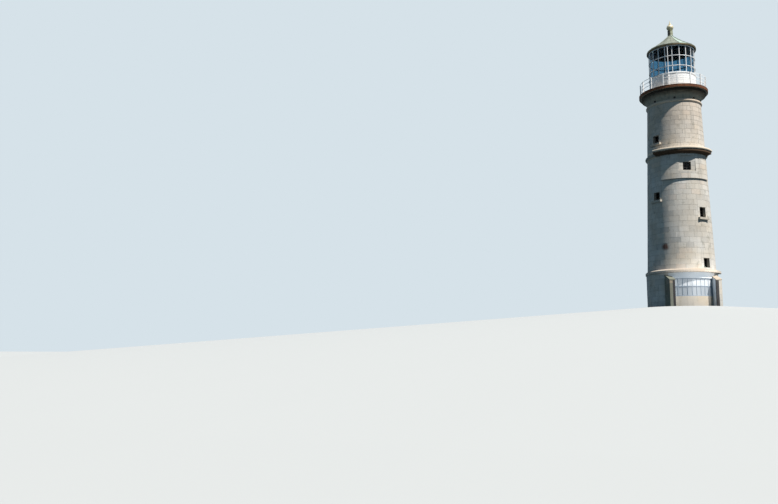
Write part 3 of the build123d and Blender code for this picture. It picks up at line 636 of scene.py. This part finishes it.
# Base drum: left out at the low light room, the cheek walls and the entrance
DRUM_COURSES = 6
CHEEK_HALF = 2.43
LINTEL_HALF = 2.15
LINTEL_STONES = 5
DOOR_HALF = 0.5
DOOR_LINTEL_HALF = 0.7
DOOR_LINTEL_FOOT = foot("door_lintel")
LINTEL_FOOT = foot("light_lintel")
drum = Coursing("drum_stones", drum_r, 0, BASE_TOP, DRUM_COURSES, 11)
cheek_head = drum.level_below(LINTEL_FOOT + 0.1)
drum.leave(0, CHEEK_HALF, 0, cheek_head)
drum.leave(0, LINTEL_HALF, cheek_head, BASE_TOP)
drum.leave(180, DOOR_HALF, 0, DOOR_LINTEL_FOOT)
drum.leave(180, DOOR_LINTEL_HALF, DOOR_LINTEL_FOOT - drum.rise / 2, BASE_TOP)
drum.lay_courses()
door_lintel_turn = degrees(asin(DOOR_LINTEL_HALF / BASE_R))
drum.lay(180 - door_lintel_turn, 180 + door_lintel_turn, DOOR_LINTEL_FOOT, BASE_TOP)
drum.finish(STONE, "granite")

lintel = Coursing("lintel_stones", drum_r, LINTEL_FOOT, BASE_TOP, 1, 12)
lintel_turn = degrees(asin(LINTEL_HALF / BASE_R))
for stone in range(LINTEL_STONES):
    start = -lintel_turn + stone * 2 * lintel_turn / LINTEL_STONES
    lintel.lay(start, start + 2 * lintel_turn / LINTEL_STONES, LINTEL_FOOT, BASE_TOP)
lintel.finish(LIMEWASH, "painted_lintel")

# Shaft below and above the middle room
for name, low, high, courses, seed, windows in (
    ("lower_shaft_stones", LEDGE_TOP, ROOM_FOOT, 17, 21, (LOW_WINDOW, MIDDLE_WINDOW, SIDE_WINDOW)),
    ("upper_shaft_stones", HOOD_TOP, SHAFT_TOP, 10, 41, (UPPER_WINDOW,)),
):
    shaft = Coursing(name, shaft_r, low, high, courses, seed)
    for window in windows:
        dress_window(shaft, window)
    shaft.lay_courses()
    shaft.finish(STONE, "granite")

# Middle room: a proud front with a flat recessed panel round its window, and a plain back
ROOM_COURSES = 5
BOW_HALF_TURN = 50
PANEL_HALF = 0.8
PANEL_FOOT = ROOM_FOOT + 0.72
PANEL_HEAD = PANEL_FOOT + 1.5
PANEL_DEPTH = 0.05
bow_ends = (360 - BOW_HALF_TURN, 360 + BOW_HALF_TURN)
back = Coursing("room_back_stones", shaft_r, ROOM_FOOT, HOOD_FOOT, ROOM_COURSES, 33)
back.gaps.append((*bow_ends, ROOM_FOOT, HOOD_FOOT))
back.lay_courses()
back.finish(STONE, "granite")
room = Coursing("room_front_stones", bow_r, ROOM_FOOT, HOOD_FOOT, ROOM_COURSES, 31, ROOM_SWELL + SUNK)
room.gaps.append((RING_START, bow_ends[0], ROOM_FOOT, HOOD_FOOT))
room.gaps.append((bow_ends[1], RING_START + 360, ROOM_FOOT, HOOD_FOOT))
panel_low = room.level_below(PANEL_FOOT)
panel_left, panel_right = room.leave(0, PANEL_HALF, panel_low, HOOD_FOOT)
for left, right in ((panel_left, 360), (360, panel_right)):
    room.lay(left, right, panel_low, PANEL_FOOT)
    room.lay(left, right, PANEL_HEAD, HOOD_FOOT)
room.lay_courses()
room.finish(STONE, "granite")

# Flat stones in the recess of the room's window
panel_reach = sqrt((bow_r(ROOM_WINDOW[1]) - PANEL_DEPTH) ** 2 - PANEL_HALF ** 2)
bm, tints = start_stones()
window_foot, window_head = ROOM_WINDOW[1], ROOM_WINDOW[1] + ROOM_WINDOW[2]
middle_level = (window_foot + window_head) / 2
panel_stones = [
    (-PANEL_HALF, 0, PANEL_FOOT, window_foot), (0, PANEL_HALF, PANEL_FOOT, window_foot),
    (-PANEL_HALF, PANEL_HALF, window_head, PANEL_HEAD),
]
for low, high in ((window_foot, middle_level), (middle_level, window_head)):
    panel_stones.append((-PANEL_HALF, -WINDOW_HALF, low, high))
    panel_stones.append((WINDOW_HALF, PANEL_HALF, low, high))
panel_random = random.Random(32)
for left, right, low, high in panel_stones:
    stone = add_box(bm, on_bearing(0, panel_reach), (left + JOINT / 2, low + JOINT / 2, -SUNK),
                    (right - JOINT / 2, high - JOINT / 2, PROUD))
    tint_stone(stone, tints, panel_random.random())
ease_arrises(bm, ARRIS)
make_piece("window_panel_stones", bm, STONE)


# Moulded ring courses, cut into long stones

RING_GAP = 0.010
GROWN = 0.007
RING_ARRIS = 0.006
RING_STEP_TURN = 5


def arc_points(start, end, bulge, steps):
    """Points of a section arc from start to end, bulging to the left of that way, or to the right below 0."""
    start, end = Vector(start), Vector(end)
    chord = end - start
    half = chord.length / 2
    hand = 1 if bulge > 0 else -1
    side = Vector((-chord.y, chord.x)).normalized() * hand
    rise = abs(bulge)
    radius = (half ** 2 + rise ** 2) / (2 * rise)
    centre = (start + end) / 2 + side * (rise - radius)
    sweep = -2 * hand * asin(min(half / radius, 1.0))
    spoke = start - centre
    points = []
    for step in range(steps + 1):
        turn = sweep * step / steps
        turned = (spoke.x * cos(turn) - spoke.y * sin(turn), spoke.x * sin(turn) + spoke.y * cos(turn))
        points.append(centre + Vector(turned))
    return points


def grown(points, by):
    """Open section line moved outwards, to the right of its way."""
    moved = []
    for place, point in enumerate(points):
        before = points[max(place - 1, 0)]
        after = points[min(place + 1, len(points) - 1)]
        way = (Vector(after) - Vector(before)).normalized()
        moved.append(Vector(point) + Vector((way.y, -way.x)) * by)
    return moved


def moulding(line, inside):
    """Closed section of a moulding: its line grown a little, and carried back into the wall."""
    line = grown(line, GROWN)
    return [*line, Vector((inside, line[-1].y)), Vector((inside, line[0].y))]


def flat_band(inside, outside, low, high):
    """Rectangular section."""
    return [(inside, low), (outside, low), (outside, high), (inside, high)]


def strap(radius, out, low, high, into=0.01):
    """Rectangular section that stands out from a round face, and reaches a little into it."""
    return flat_band(radius - into, radius + out, low, high)


def ring_stones(name, section, start, turn, count, seed, material=DRESSED):
    """Stones of a moulded ring: an upright section spun between thin joints."""
    bm, tints = start_stones()
    stones = random.Random(seed)
    each = turn / count
    gap = degrees(RING_GAP / max(x for x, y in section))
    for stone in range(count):
        bearing = radians(start + stone * each + gap / 2)
        corners = [bm.verts.new((x * sin(bearing), -x * cos(bearing), y)) for x, y in section]
        face = bm.faces.new(corners)
        face[tints] = stones.random()
        spin_about_axis(bm, [face, *face.edges, *face.verts], radians(each - gap),
                        max(2, round(each / RING_STEP_TURN)), closed=False)
    bmesh.ops.remove_doubles(bm, verts=bm.verts, dist=1e-5)
    bmesh.ops.recalc_face_normals(bm, faces=bm.faces)
    ease_arrises(bm, RING_ARRIS)
    make_piece(name, bm, material)


def ring_bands(name, sections, material):
    """Whole rings, one for each closed section, as one piece."""
    bm = bmesh.new()
    for section in sections:
        add_full_ring(bm, section)
    bmesh.ops.recalc_face_normals(bm, faces=bm.faces)
    make_piece(name, bm, material)


# Base ledge, with its mortar haunching
WEATHERING = 0.06
UNDER_SHAFT = 0.06
TUCKED = 0.01
INTO_WALL = 0.15
HAUNCH = 0.10
HAUNCH_EDGE = 0.02
HAUNCH_BACK_R = SHAFT_FOOT_R - 0.1
LEDGE_HALF_TURN = 72
LEDGE_STRING_R = BASE_R + 0.08


def ledge_line(reach):
    """Section line of the base ledge out to a reach."""
    return [(SHAFT_FOOT_R - UNDER_SHAFT, BASE_TOP), (reach, BASE_TOP), (reach, LEDGE_TOP - WEATHERING),
            (SHAFT_FOOT_R - TUCKED, LEDGE_TOP)]


def haunch_section(reach):
    """Closed section of the mortar haunching that sheds rain off the ledge, out to a reach."""
    toe = LEDGE_TOP - WEATHERING + GROWN
    return [(reach - HAUNCH_EDGE, toe - HAUNCH_EDGE), (reach, toe),
            (SHAFT_FOOT_R + HAUNCH_EDGE, LEDGE_TOP + HAUNCH), (HAUNCH_BACK_R, LEDGE_TOP + HAUNCH),
            (HAUNCH_BACK_R, toe - HAUNCH_EDGE)]


for part, reach, start, turn, count, seed in (
    ("ledge", LEDGE_R, -LEDGE_HALF_TURN, 2 * LEDGE_HALF_TURN, 5, 51),
    ("ledge_string", LEDGE_STRING_R, LEDGE_HALF_TURN, 360 - 2 * LEDGE_HALF_TURN, 8, 52),
):
    section = moulding(ledge_line(reach), SHAFT_FOOT_R - INTO_WALL)
    ring_stones(f"{part}_stones", section, start, turn, count, seed, LEDGE_STONE)
    ring_stones(f"{part}_haunch", haunch_section(reach), start, turn, 1, seed + 6, HAUNCHING)

# Hood: hollow soffit, fascia and round lip. A round string behind it, the neck moulding, and the deck.
HOOD_HALF_TURN = 60
HOOD_LIP_H = 0.21
HOOD_LIP_ROLL = 0.05
HOOD_FASCIA_H = 0.2
HOOD_DRIP = 0.04
HOOD_HOLLOW = 0.045
STRING_H = 0.4
STRING_OUT = 0.19
NECK_OUT = 0.115
FLANGE_W = 0.27
lip_r = HOOD_R - HOOD_LIP_ROLL
lip_top = HOOD_TOP - WEATHERING
lip_foot = lip_top - HOOD_LIP_H
fascia_r = lip_r - HOOD_DRIP
hood_line = arc_points((bow_r(HOOD_FOOT), HOOD_FOOT), (fascia_r, lip_foot - HOOD_FASCIA_H), HOOD_HOLLOW, 6)
hood_line.append(Vector((fascia_r, lip_foot)))
hood_line += arc_points((lip_r, lip_foot), (lip_r, lip_top), -HOOD_LIP_ROLL, 6)
hood_line.append(Vector((shaft_r(HOOD_TOP) - TUCKED, HOOD_TOP)))
ring_stones("hood_stones", moulding(hood_line, shaft_r(HOOD_FOOT) - INTO_WALL), -HOOD_HALF_TURN,
            2 * HOOD_HALF_TURN, 5, 53, HOOD_STONE)
string_head = HOOD_FOOT + STRING_H
string_line = arc_points((shaft_r(HOOD_FOOT), HOOD_FOOT), (shaft_r(string_head), string_head),
                         -STRING_OUT, 10)
string_line.append(Vector((shaft_r(HOOD_TOP), HOOD_TOP)))
ring_stones("room_string_stones", moulding(string_line, shaft_r(HOOD_FOOT) - INTO_WALL), HOOD_HALF_TURN,
            360 - 2 * HOOD_HALF_TURN, 10, 54)
neck_r = shaft_r(SHAFT_TOP)
neck_line = arc_points((neck_r, SHAFT_TOP), (neck_r, NECK_TOP), -NECK_OUT, 10)
ring_stones("neck_stones", moulding(neck_line, neck_r - INTO_WALL), 5, 360, 12, 55)
deck_slab = flat_band(LANTERN_R + 0.01, RIM_R - FLANGE_W, DECK_TOP - 0.01, DECK_TOP + 0.012)
ring_stones("deck_flags", deck_slab, 0, 360, 24, 56, FLAGS)

# Cheek wall blocks, cut to the rake of the coping. Dark posts stand at their inner front corners.
CHEEK_LOW, CHEEK_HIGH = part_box("cheek_wall_right")
CHEEK_REACH = -CHEEK_LOW.y
CHEEK_INNER = CHEEK_LOW.x
CHEEK_OUTER = CHEEK_HIGH.x
CHEEK_SLOPE = radians(22.4)
CHEEK_TIP = BASE_TOP - 0.79
CHEEK_ROOT = 2.1
CHEEK_JOINTS_BACK = (0.88, 0.62)
RAKE_GAP = 0.004
POST_W = 0.23
POST_D = 0.15
BEHIND_POST_IN = 0.1
COAT_T = 0.006
COAT_INTO = 0.004
COAT_FOOT = 0.01
COAT_ROOT = 2.58


def cut_to_rake(bm):
    """Cut away what stands above the rake of the cheek copings, and close the cut."""
    rake = Vector((0, -sin(CHEEK_SLOPE), cos(CHEEK_SLOPE)))
    bmesh.ops.bisect_plane(bm, geom=[*bm.verts, *bm.edges, *bm.faces], dist=1e-5,
                           plane_co=(0, -CHEEK_REACH, CHEEK_TIP - RAKE_GAP), plane_no=rake, clear_outer=True)
    open_edges = [e for e in bm.edges if e.is_boundary]
    bmesh.ops.holes_fill(bm, edges=open_edges, sides=0)
    bmesh.ops.recalc_face_normals(bm, faces=bm.faces)


cheek_random = random.Random(61)
coat = bmesh.new()
inner_face = CHEEK_INNER - PROUD
post_back = CHEEK_REACH - POST_D
# The left cheek is laid in the darker stone, which is painted shade
for side, label, finish in ((1, "cheek_stones_right", STONE), (-1, "cheek_stones_left", SHADED_CHEEK_STONE)):
    bm, tints = start_stones()
    place = on_bearing(0) @ Matrix.Diagonal((side, 1, 1, 1))
    for course in range(DRUM_COURSES):
        low = course * drum.rise + JOINT / 2
        high = (course + 1) * drum.rise - JOINT / 2
        joint = CHEEK_REACH - CHEEK_JOINTS_BACK[course % 2]
        blocks = [
            (inner_face, CHEEK_OUTER + PROUD, CHEEK_ROOT, joint - JOINT / 2),
            (inner_face, CHEEK_OUTER - BEHIND_POST_IN, joint + JOINT / 2, post_back),
            (CHEEK_INNER + POST_W, CHEEK_OUTER + PROUD, joint + JOINT / 2, CHEEK_REACH + PROUD),
        ]
        block_tints = [cheek_random.random(), cheek_random.random()]
        for (left, right, near, far), tint in zip(blocks, [*block_tints, block_tints[-1]]):
            stone = add_box(bm, place, (left, low, near), (right, high, far))
            tint_stone(stone, tints, tint)
    cut_to_rake(bm)
    ease_arrises(bm, ARRIS)
    make_piece(label, bm, finish)
    add_box(coat, place, (inner_face - COAT_T, COAT_FOOT, COAT_ROOT),
            (inner_face + COAT_INTO, BASE_TOP, post_back))
cut_to_rake(coat)
make_piece("cheek_limewash", coat, LIMEWASH)

# Lantern roof: a black lining under it, which is painted shade under the roof, laps of the copper sheets,
# gutter beads, bands on pipe and ball
ROOF_RISE = 1.56
ROOF_SAG = 0.10
ROOF_COURSES = 4
ROOF_T = 0.06
SHADE_LINING_DROP = 0.03
SHADE_LINING_IN = 0.14
SHADE_LINING_T = 0.015
SHADE_LINING_LEAST_R = 0.02
LAP_SHARE = 0.03
LAP_T = 0.006
LAP_INTO = 0.01
BEAD_SIDES = 8
BAND_H = 0.03


def roof_slope(share):
    """Reach and level on the roof, at a share of the way from the crown to the eave."""
    sag = 4 * ROOF_SAG * share * (1 - share)
    return PIPE_R + (EAVE_R - PIPE_R) * share, ROOF_TOP - ROOF_RISE * share - sag


# A black sheet under the roof: its darkness is painted shade seen through the glass
shade_lining = []
for course in range(ROOF_COURSES + 1):
    reach, level = roof_slope(course / ROOF_COURSES)
    shade_lining.append((max(reach - SHADE_LINING_IN, SHADE_LINING_LEAST_R), level - ROOF_T - SHADE_LINING_DROP))
shade_lining_back = [(reach, level + SHADE_LINING_T) for reach, level in reversed(shade_lining)]
ring_bands("lantern_shade_lining", [shade_lining + shade_lining_back], DARK_IRON)
laps = []
for course in range(1, ROOF_COURSES):
    reach, level = roof_slope(course / ROOF_COURSES)
    above, above_level = roof_slope(course / ROOF_COURSES - LAP_SHARE)
    laps.append([(above, above_level - LAP_INTO), (reach, level - LAP_INTO), (reach + LAP_T, level + LAP_T),
                 (above + LAP_T, above_level + LAP_T)])
crown_collar = strap(PIPE_R, 0.02, ROOF_TOP - 0.03, ROOF_TOP + 0.09, 0.005)
ring_bands("roof_sheet_laps", [*laps, crown_collar], VERDIGRIS)


def bead(reach, level, size, sides=BEAD_SIDES):
    """Round section of a bead."""
    turns = [2 * pi * side / sides for side in range(sides)]
    return [(reach + size * cos(turn), level + size * sin(turn)) for turn in turns]


ring_bands("gutter_beads", [bead(EAVE_R, ROOF_FOOT - 0.012, 0.014), bead(EAVE_R, GLAZING_TOP + 0.012, 0.012)],
           GUTTER)
BALL_Z = (foot("finial_ball") + head("finial_ball")) / 2
pipe_rings = [strap(PIPE_R, 0.012, level, level + BAND_H, 0.002)
              for level in (ROOF_TOP + 0.28, head("vent_pipe") - BAND_H)]
ring_bands("pipe_bands", pipe_rings, PIPE)
ball_seam = strap(far_x("finial_ball"), 0.008, BALL_Z - BAND_H / 2, BALL_Z + BAND_H / 2, 0.004)
ring_bands("ball_seam", [ball_seam], GILT)

# Lantern wall: riveted cover strips over the plate joints, laps, hoop mouldings and glazing bolts
PLATES = 10
PLATE_START = 9
STRIP_HALF = 0.045
STRIP_T = 0.008
STRIP_INTO = 0.02
STRIP_RIVETS = 12
STRIP_ASIDE = 0.028
STRIP_END = 0.08
RIVET_R = 0.014
RIVET_DOME = 0.6
LAP_BAND_T = 0.010
LAP_BAND_H = 0.06
HOOP_LEVELS = (GLAZING_FOOT + 0.70, GLAZING_FOOT + 1.73)
HOOP_HALF = 0.018
BAR_COUNT = 20
BAR_BOLT_END = 0.03


def add_rivet(bm, place):
    """Low domed head that points along z of a placed frame."""
    dome = place @ Matrix.Diagonal((1, 1, RIVET_DOME, 1))
    bmesh.ops.create_icosphere(bm, subdivisions=1, radius=RIVET_R, matrix=dome)


def rivet_face(bm, bearing, reach, levels, asides=(0,)):
    """Rivets on a round face at some levels, each a distance aside of a bearing."""
    for level in levels:
        for aside in asides:
            add_rivet(bm, on_bearing(bearing, reach, level) @ Matrix.Translation((aside, 0, 0)))


bm = bmesh.new()
rivet_run = MURETTE_TOP - DECK_TOP - 2 * STRIP_END
strip_levels = [DECK_TOP + STRIP_END + rivet * rivet_run / (STRIP_RIVETS - 1)
                for rivet in range(STRIP_RIVETS)]
for plate in range(PLATES):
    bearing = PLATE_START + plate * 360 / PLATES
    add_box(bm, on_bearing(bearing, LANTERN_R), (-STRIP_HALF, DECK_TOP, -STRIP_INTO),
            (STRIP_HALF, MURETTE_TOP, STRIP_T))
    rivet_face(bm, bearing, LANTERN_R + STRIP_T, strip_levels, (-STRIP_ASIDE, STRIP_ASIDE))
make_piece("murette_strips", bm, WHITE_IRON)
lap_levels = (DECK_TOP + 0.02, DECK_TOP + 0.50, DECK_TOP + 1.0, MURETTE_TOP - 0.07)
ring_bands("murette_laps", [strap(LANTERN_R, LAP_BAND_T, level, level + LAP_BAND_H) for level in lap_levels],
           WHITE_IRON)
hoops = [strap(LANTERN_R, STRIP_T, level - HOOP_HALF, level + HOOP_HALF) for level in HOOP_LEVELS]
ring_bands("hoop_mouldings", hoops, WHITE_IRON)
bm = bmesh.new()
bolt_levels = (GLAZING_FOOT + BAR_BOLT_END, *HOOP_LEVELS, GLAZING_TOP - BAR_BOLT_END)
for bar in range(BAR_COUNT):
    rivet_face(bm, bar * 360 / BAR_COUNT, LANTERN_R + STRIP_T, bolt_levels)
make_piece("glazing_bolts", bm, WHITE_IRON)

# Downpipe beside a glazing bar, from the gutter to the deck, with its brackets
DOWNPIPE_TURN = -28.6
DOWNPIPE_R = 0.036
DOWNPIPE_OUT = 0.085
BRACKET_LOW = (-0.05, -0.02, -0.01)
BRACKET_HIGH = (0.05, 0.02, 0.13)
bm = bmesh.new()
middle = Matrix.Translation((0, -(LANTERN_R + DOWNPIPE_OUT), (DECK_TOP + GLAZING_TOP) / 2))
bmesh.ops.create_cone(bm, cap_ends=True, segments=12, radius1=DOWNPIPE_R, radius2=DOWNPIPE_R,
                      depth=GLAZING_TOP - DECK_TOP,
                      matrix=Matrix.Rotation(radians(DOWNPIPE_TURN), 4, "Z") @ middle)
for level in (DECK_TOP + 0.3, DECK_TOP + 1.2, *HOOP_LEVELS):
    add_box(bm, on_bearing(DOWNPIPE_TURN, LANTERN_R, level), BRACKET_LOW, BRACKET_HIGH)
make_piece("lantern_downpipe", bm, WHITE_IRON)

# Gallery: foot plates, bolts and caps of the stanchions, rim joint plates, and lips of the rim
STANCHIONS = 15
RAIL_R = RIM_R - 0.15
FOOT_PLATE_T = 0.025
FOOT_PLATE_HALF = 0.09
CAP_HALF = 0.058
FOOT_BOLT_ASIDE = 0.07
RIM_PLATE_HALF = 0.075
RIM_PLATE_T = 0.012
RIM_ASIDE = 0.045
RIM_END = 0.06
LIP_H = 0.03
bm = bmesh.new()
for post in range(STANCHIONS):
    bearing = (post + 0.5) * 360 / STANCHIONS
    add_box(bm, on_bearing(bearing, RAIL_R, RIM_TOP), (-FOOT_PLATE_HALF, 0, -FOOT_PLATE_HALF),
            (FOOT_PLATE_HALF, FOOT_PLATE_T, FOOT_PLATE_HALF - 0.005))
    add_box(bm, on_bearing(bearing, RAIL_R, head("railing_stanchions")), (-CAP_HALF, -0.03, -CAP_HALF),
            (CAP_HALF, 0.006, CAP_HALF))
    for aside in (-FOOT_BOLT_ASIDE, FOOT_BOLT_ASIDE):
        bolt = on_bearing(bearing, RAIL_R, RIM_TOP + FOOT_PLATE_T) @ Matrix.Translation((aside, 0, 0.06))
        add_rivet(bm, bolt @ Matrix.Rotation(-pi / 2, 4, "X"))
ease_arrises(bm, SMALL_ARRIS, SQUARE_OVER)
make_piece("stanchion_fittings", bm, WHITE_IRON)
bm = bmesh.new()
for joint in range(STANCHIONS):
    bearing = joint * 360 / STANCHIONS
    add_box(bm, on_bearing(bearing, RIM_R), (-RIM_PLATE_HALF, RIM_FOOT + 0.015, -0.03),
            (RIM_PLATE_HALF, RIM_TOP - 0.015, RIM_PLATE_T))
    rivet_face(bm, bearing, RIM_R + RIM_PLATE_T, (RIM_FOOT + RIM_END, RIM_TOP - RIM_END),
               (-RIM_ASIDE, RIM_ASIDE))
make_piece("rim_joint_plates", bm, RUSTED)
rim_lips = [strap(RIM_R, 0.012, RIM_FOOT, RIM_FOOT + LIP_H),
            strap(RIM_R, 0.014, RIM_TOP - LIP_H, RIM_TOP + 0.004)]
ring_bands("rim_lips", rim_lips, RUSTED)

# Iron sleeves in the vents of the cornice, with two bars each
VENT_TURN = -17.5
VENTS = 8
VENT_R = 0.1
VENT_LEVEL = NECK_TOP + 0.12
SLEEVE_R = VENT_R - 0.004
SLEEVE_L = 0.30
VENT_BAR_ASIDE = 0.033
VENT_BAR_HALF = 0.008
bm = bmesh.new()
for vent in range(VENTS):
    place = on_bearing(VENT_TURN + vent * 360 / VENTS, shaft_r(SHAFT_TOP) - 0.18, VENT_LEVEL)
    bmesh.ops.create_cone(bm, cap_ends=False, segments=20, radius1=SLEEVE_R, radius2=SLEEVE_R, depth=SLEEVE_L,
                          matrix=place @ Matrix.Translation((0, 0, 0.05)))
    for aside in (-VENT_BAR_ASIDE, VENT_BAR_ASIDE):
        add_box(bm, place, (aside - VENT_BAR_HALF, -VENT_R, 0.12), (aside + VENT_BAR_HALF, VENT_R, 0.14))
make_piece("cornice_vents", bm, DARK_IRON)

# Window bars: an upright and two crossbars in each frame
REVEAL = 0.35
FRAME_W = 0.06
FRAME_D = 0.08
BAR_HALF = 0.014
UPRIGHT_HALF_D = 0.025
CROSSBAR_HALF_D = 0.022
bm = bmesh.new()
windows = [LOW_WINDOW, MIDDLE_WINDOW, SIDE_WINDOW, UPPER_WINDOW]
windows += [(turn + 180, *rest) for turn, *rest in windows]
for bearing, sill, height, sill_h in [*windows, ROOM_WINDOW]:
    face = bow_r(sill) if bearing == 0 else shaft_r(sill)
    place = on_bearing(bearing, face - REVEAL - FRAME_D / 2, sill)
    inner, top = WINDOW_HALF - FRAME_W, height - FRAME_W
    add_box(bm, place, (-BAR_HALF, FRAME_W, -UPRIGHT_HALF_D), (BAR_HALF, top, UPRIGHT_HALF_D))
    for share in (1 / 3, 2 / 3):
        level = FRAME_W + (top - FRAME_W) * share
        add_box(bm, place, (-inner, level - BAR_HALF, -CROSSBAR_HALF_D),
                (inner, level + BAR_HALF, CROSSBAR_HALF_D))
make_piece("window_bars", bm, DARK_TIMBER)

# Low light screen: three white boards to a bay, over the grey ones of the frame
SCREEN_R = BASE_R - 0.08
SCREEN_BAYS = 9
SCREEN_BAY_TURN = 7.6
SCREEN_BAR_TURN = 0.8
BOARD_FACE_R = SCREEN_R - 0.0325
BOARD_SUNK = 0.004
BOARDS = 3
boards_low = foot("screen_boards")
boards_high = head("screen_boards")
screen = Coursing("screen_planks", lambda level: BOARD_FACE_R, boards_low, boards_high, 1, 71, BOARD_SUNK)
first_bay = (SCREEN_BAR_TURN - SCREEN_BAYS * SCREEN_BAY_TURN) / 2
bay_turn = SCREEN_BAY_TURN - SCREEN_BAR_TURN
for bay in range(SCREEN_BAYS):
    for board in range(BOARDS):
        left = first_bay + bay * SCREEN_BAY_TURN + board * bay_turn / BOARDS
        screen.lay(left, left + bay_turn / BOARDS, boards_low, boards_high)
screen.finish(WHITE_TIMBER, "white_timber")

# Entrance door: planks, strap hinges with studs, and a ring handle on its plate
LEAF_LOW, LEAF_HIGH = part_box("entrance_door")
DOOR_PLANKS = 6
PLANK_GAP = 0.003
HINGE_H = 0.055
HINGE_T = 0.027
STUDS = 5
FIRST_STUD = -0.36
STUD_STEP = 0.14
HANDLE_PLATE_LOW = (0.27, 1.1, 0.01)
HANDLE_PLATE_HIGH = (0.35, 1.26, 0.026)
HANDLE_PLACE = (0.31, 1.16, 0.045)
HANDLE_R = 0.05
HANDLE_WIRE_R = 0.008
HANDLE_SIDES = 6
HANDLE_STEPS = 20
bm = bmesh.new()
place = on_bearing(180, LEAF_HIGH.y)
plank_w = 2 * LEAF_HIGH.x / DOOR_PLANKS
for plank in range(DOOR_PLANKS):
    left = -LEAF_HIGH.x + plank * plank_w
    add_box(bm, place, (left + PLANK_GAP, LEAF_LOW.z + 0.006, -0.01),
            (left + plank_w - PLANK_GAP, LEAF_HIGH.z - 0.006, 0.018))
ease_arrises(bm, SMALL_ARRIS, SQUARE_OVER)
make_piece("door_planks", bm, DARK_TIMBER)
bm = bmesh.new()
for level in (LEAF_LOW.z + 0.3, LEAF_HIGH.z - 0.35):
    add_box(bm, place, (-LEAF_HIGH.x + 0.01, level, 0.01), (LEAF_HIGH.x - 0.16, level + HINGE_H, HINGE_T))
    for stud in range(STUDS):
        across = FIRST_STUD + stud * STUD_STEP
        add_rivet(bm, place @ Matrix.Translation((across, level + HINGE_H / 2, HINGE_T)))
add_box(bm, place, HANDLE_PLATE_LOW, HANDLE_PLATE_HIGH)
made_before = set(bm.verts)
add_full_ring(bm, bead(HANDLE_R, 0, HANDLE_WIRE_R, HANDLE_SIDES), HANDLE_STEPS)
bmesh.ops.transform(bm, matrix=place @ Matrix.Translation(HANDLE_PLACE),
                    verts=[vert for vert in bm.verts if vert not in made_before])
bmesh.ops.recalc_face_normals(bm, faces=bm.faces)
make_piece("door_ironwork", bm, DARK_IRON)

# Pale floor: level under the tower, and then falling, because the camera stands lower than the tower's foot
FLOOR_FLAT = 4.5
FLOOR_FALL = 0.085
FLOOR_LOW = -6.2
FLOOR_EASE = 8
FLOOR_END = 3000
FLOOR_LIT = "#35444C"
FLOOR_SEEN = "#B6B9B9"
floor_finish, tree = start_material("plain_pale_floor")[:2]
rays = add(tree, "LightPath")
finish_surface(tree, coated(tree, FLOOR_LIT, (rays.outputs["Is Camera Ray"], FLOOR_SEEN)),
               {"Roughness": 0.9, "Specular IOR Level": 0.2})
fall_end = FLOOR_FLAT - FLOOR_LOW / FLOOR_FALL
ease_rise = FLOOR_EASE * FLOOR_FALL
floor_line = [(0, 0), (FLOOR_FLAT, 0), (fall_end - FLOOR_EASE, FLOOR_LOW + ease_rise),
              (fall_end, FLOOR_LOW + 0.2 * ease_rise), (fall_end + 2 * FLOOR_EASE, FLOOR_LOW),
              (FLOOR_END, FLOOR_LOW)]
bm = bmesh.new()
add_full_ring(bm, floor_line, closed=False)
bmesh.ops.remove_doubles(bm, verts=bm.verts, dist=1e-4)
bmesh.ops.recalc_face_normals(bm, faces=bm.faces)
floor_sheet = put_in_scene("floor", close_mesh("floor", bm, floor_finish))
floor_sheet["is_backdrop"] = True

# Light: a soft sun, and a low lamp for the shaded front of the low light room
SUN_TURN = radians(43.5)
SUN_HEIGHT = radians(56.5)
LAMP_FROM = Vector((7.0, -19.0, 2.4))
LAMP_AT = Vector((0.3, -3.1, 2.3))


def hang_light(name, kind, energy, shines_from):
    """Light that shines from a direction towards the tower."""
    light = put_in_scene(name, bpy.data.lights.new(name, kind))
    light.data.energy = energy
    light.rotation_mode = "QUATERNION"
    light.rotation_quaternion = shines_from.to_track_quat("Z", "Y")
    return light


sun_from = Vector((sin(SUN_TURN) * cos(SUN_HEIGHT), -cos(SUN_TURN) * cos(SUN_HEIGHT), sin(SUN_HEIGHT)))
sun = hang_light("key_light", "SUN", 6.1, sun_from)
sun.data.angle = radians(1.5)
sun.data.color = (1.0, 0.955, 0.90)
lamp = hang_light("low_lamp", "SPOT", 7200, LAMP_FROM - LAMP_AT)
lamp.location = LAMP_FROM
lamp.data.spot_size = radians(20)
lamp.data.spot_blend = 0.8
lamp.data.shadow_soft_size = 1.2

# Pale surround for the camera, gloss and glass, and a blue fill for the rest
world = bpy.data.worlds.new("pale_studio")
bpy.context.scene.world = world
world.use_nodes = True
tree = world.node_tree
tree.nodes.clear()
rays = add(tree, "LightPath")
seen = rays.outputs["Is Camera Ray"]
for ray in ("Is Glossy Ray", "Is Transmission Ray"):
    seen = add(tree, "Math", (seen, rays.outputs[ray]), operation="MAXIMUM")
fill = add(tree, "Background", {"Color": "#94C1E7", "Strength": 0.25})
backdrop = add(tree, "Background", {"Color": "#D6E2E9", "Strength": 1.0})
both = add(tree, "MixShader", (seen, fill, backdrop))
add(tree, "OutputWorld", {"Surface": both})
bpy.context.scene.view_settings.view_transform = "Standard"

CAMERA_PLACE = (-27.166, -74.637, -4.25)
CAMERA_HEADING = -1.0745
CAMERA_PITCH = 7.463
CAMERA_ROLL = 0.15
camera_data = bpy.data.cameras.new("camera")
camera_data.lens = 35.31
camera_data.sensor_width = 36
camera_data.clip_end = 6000
camera = put_in_scene("camera", camera_data)
camera.matrix_world = (
    Matrix.Translation(CAMERA_PLACE)
    @ Matrix.Rotation(-radians(CAMERA_HEADING), 4, "Z")
    @ Matrix.Rotation(radians(90 + CAMERA_PITCH), 4, "X")
    @ Matrix.Rotation(radians(CAMERA_ROLL), 4, "Z")
)
bpy.context.scene.camera = camera

low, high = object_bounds()
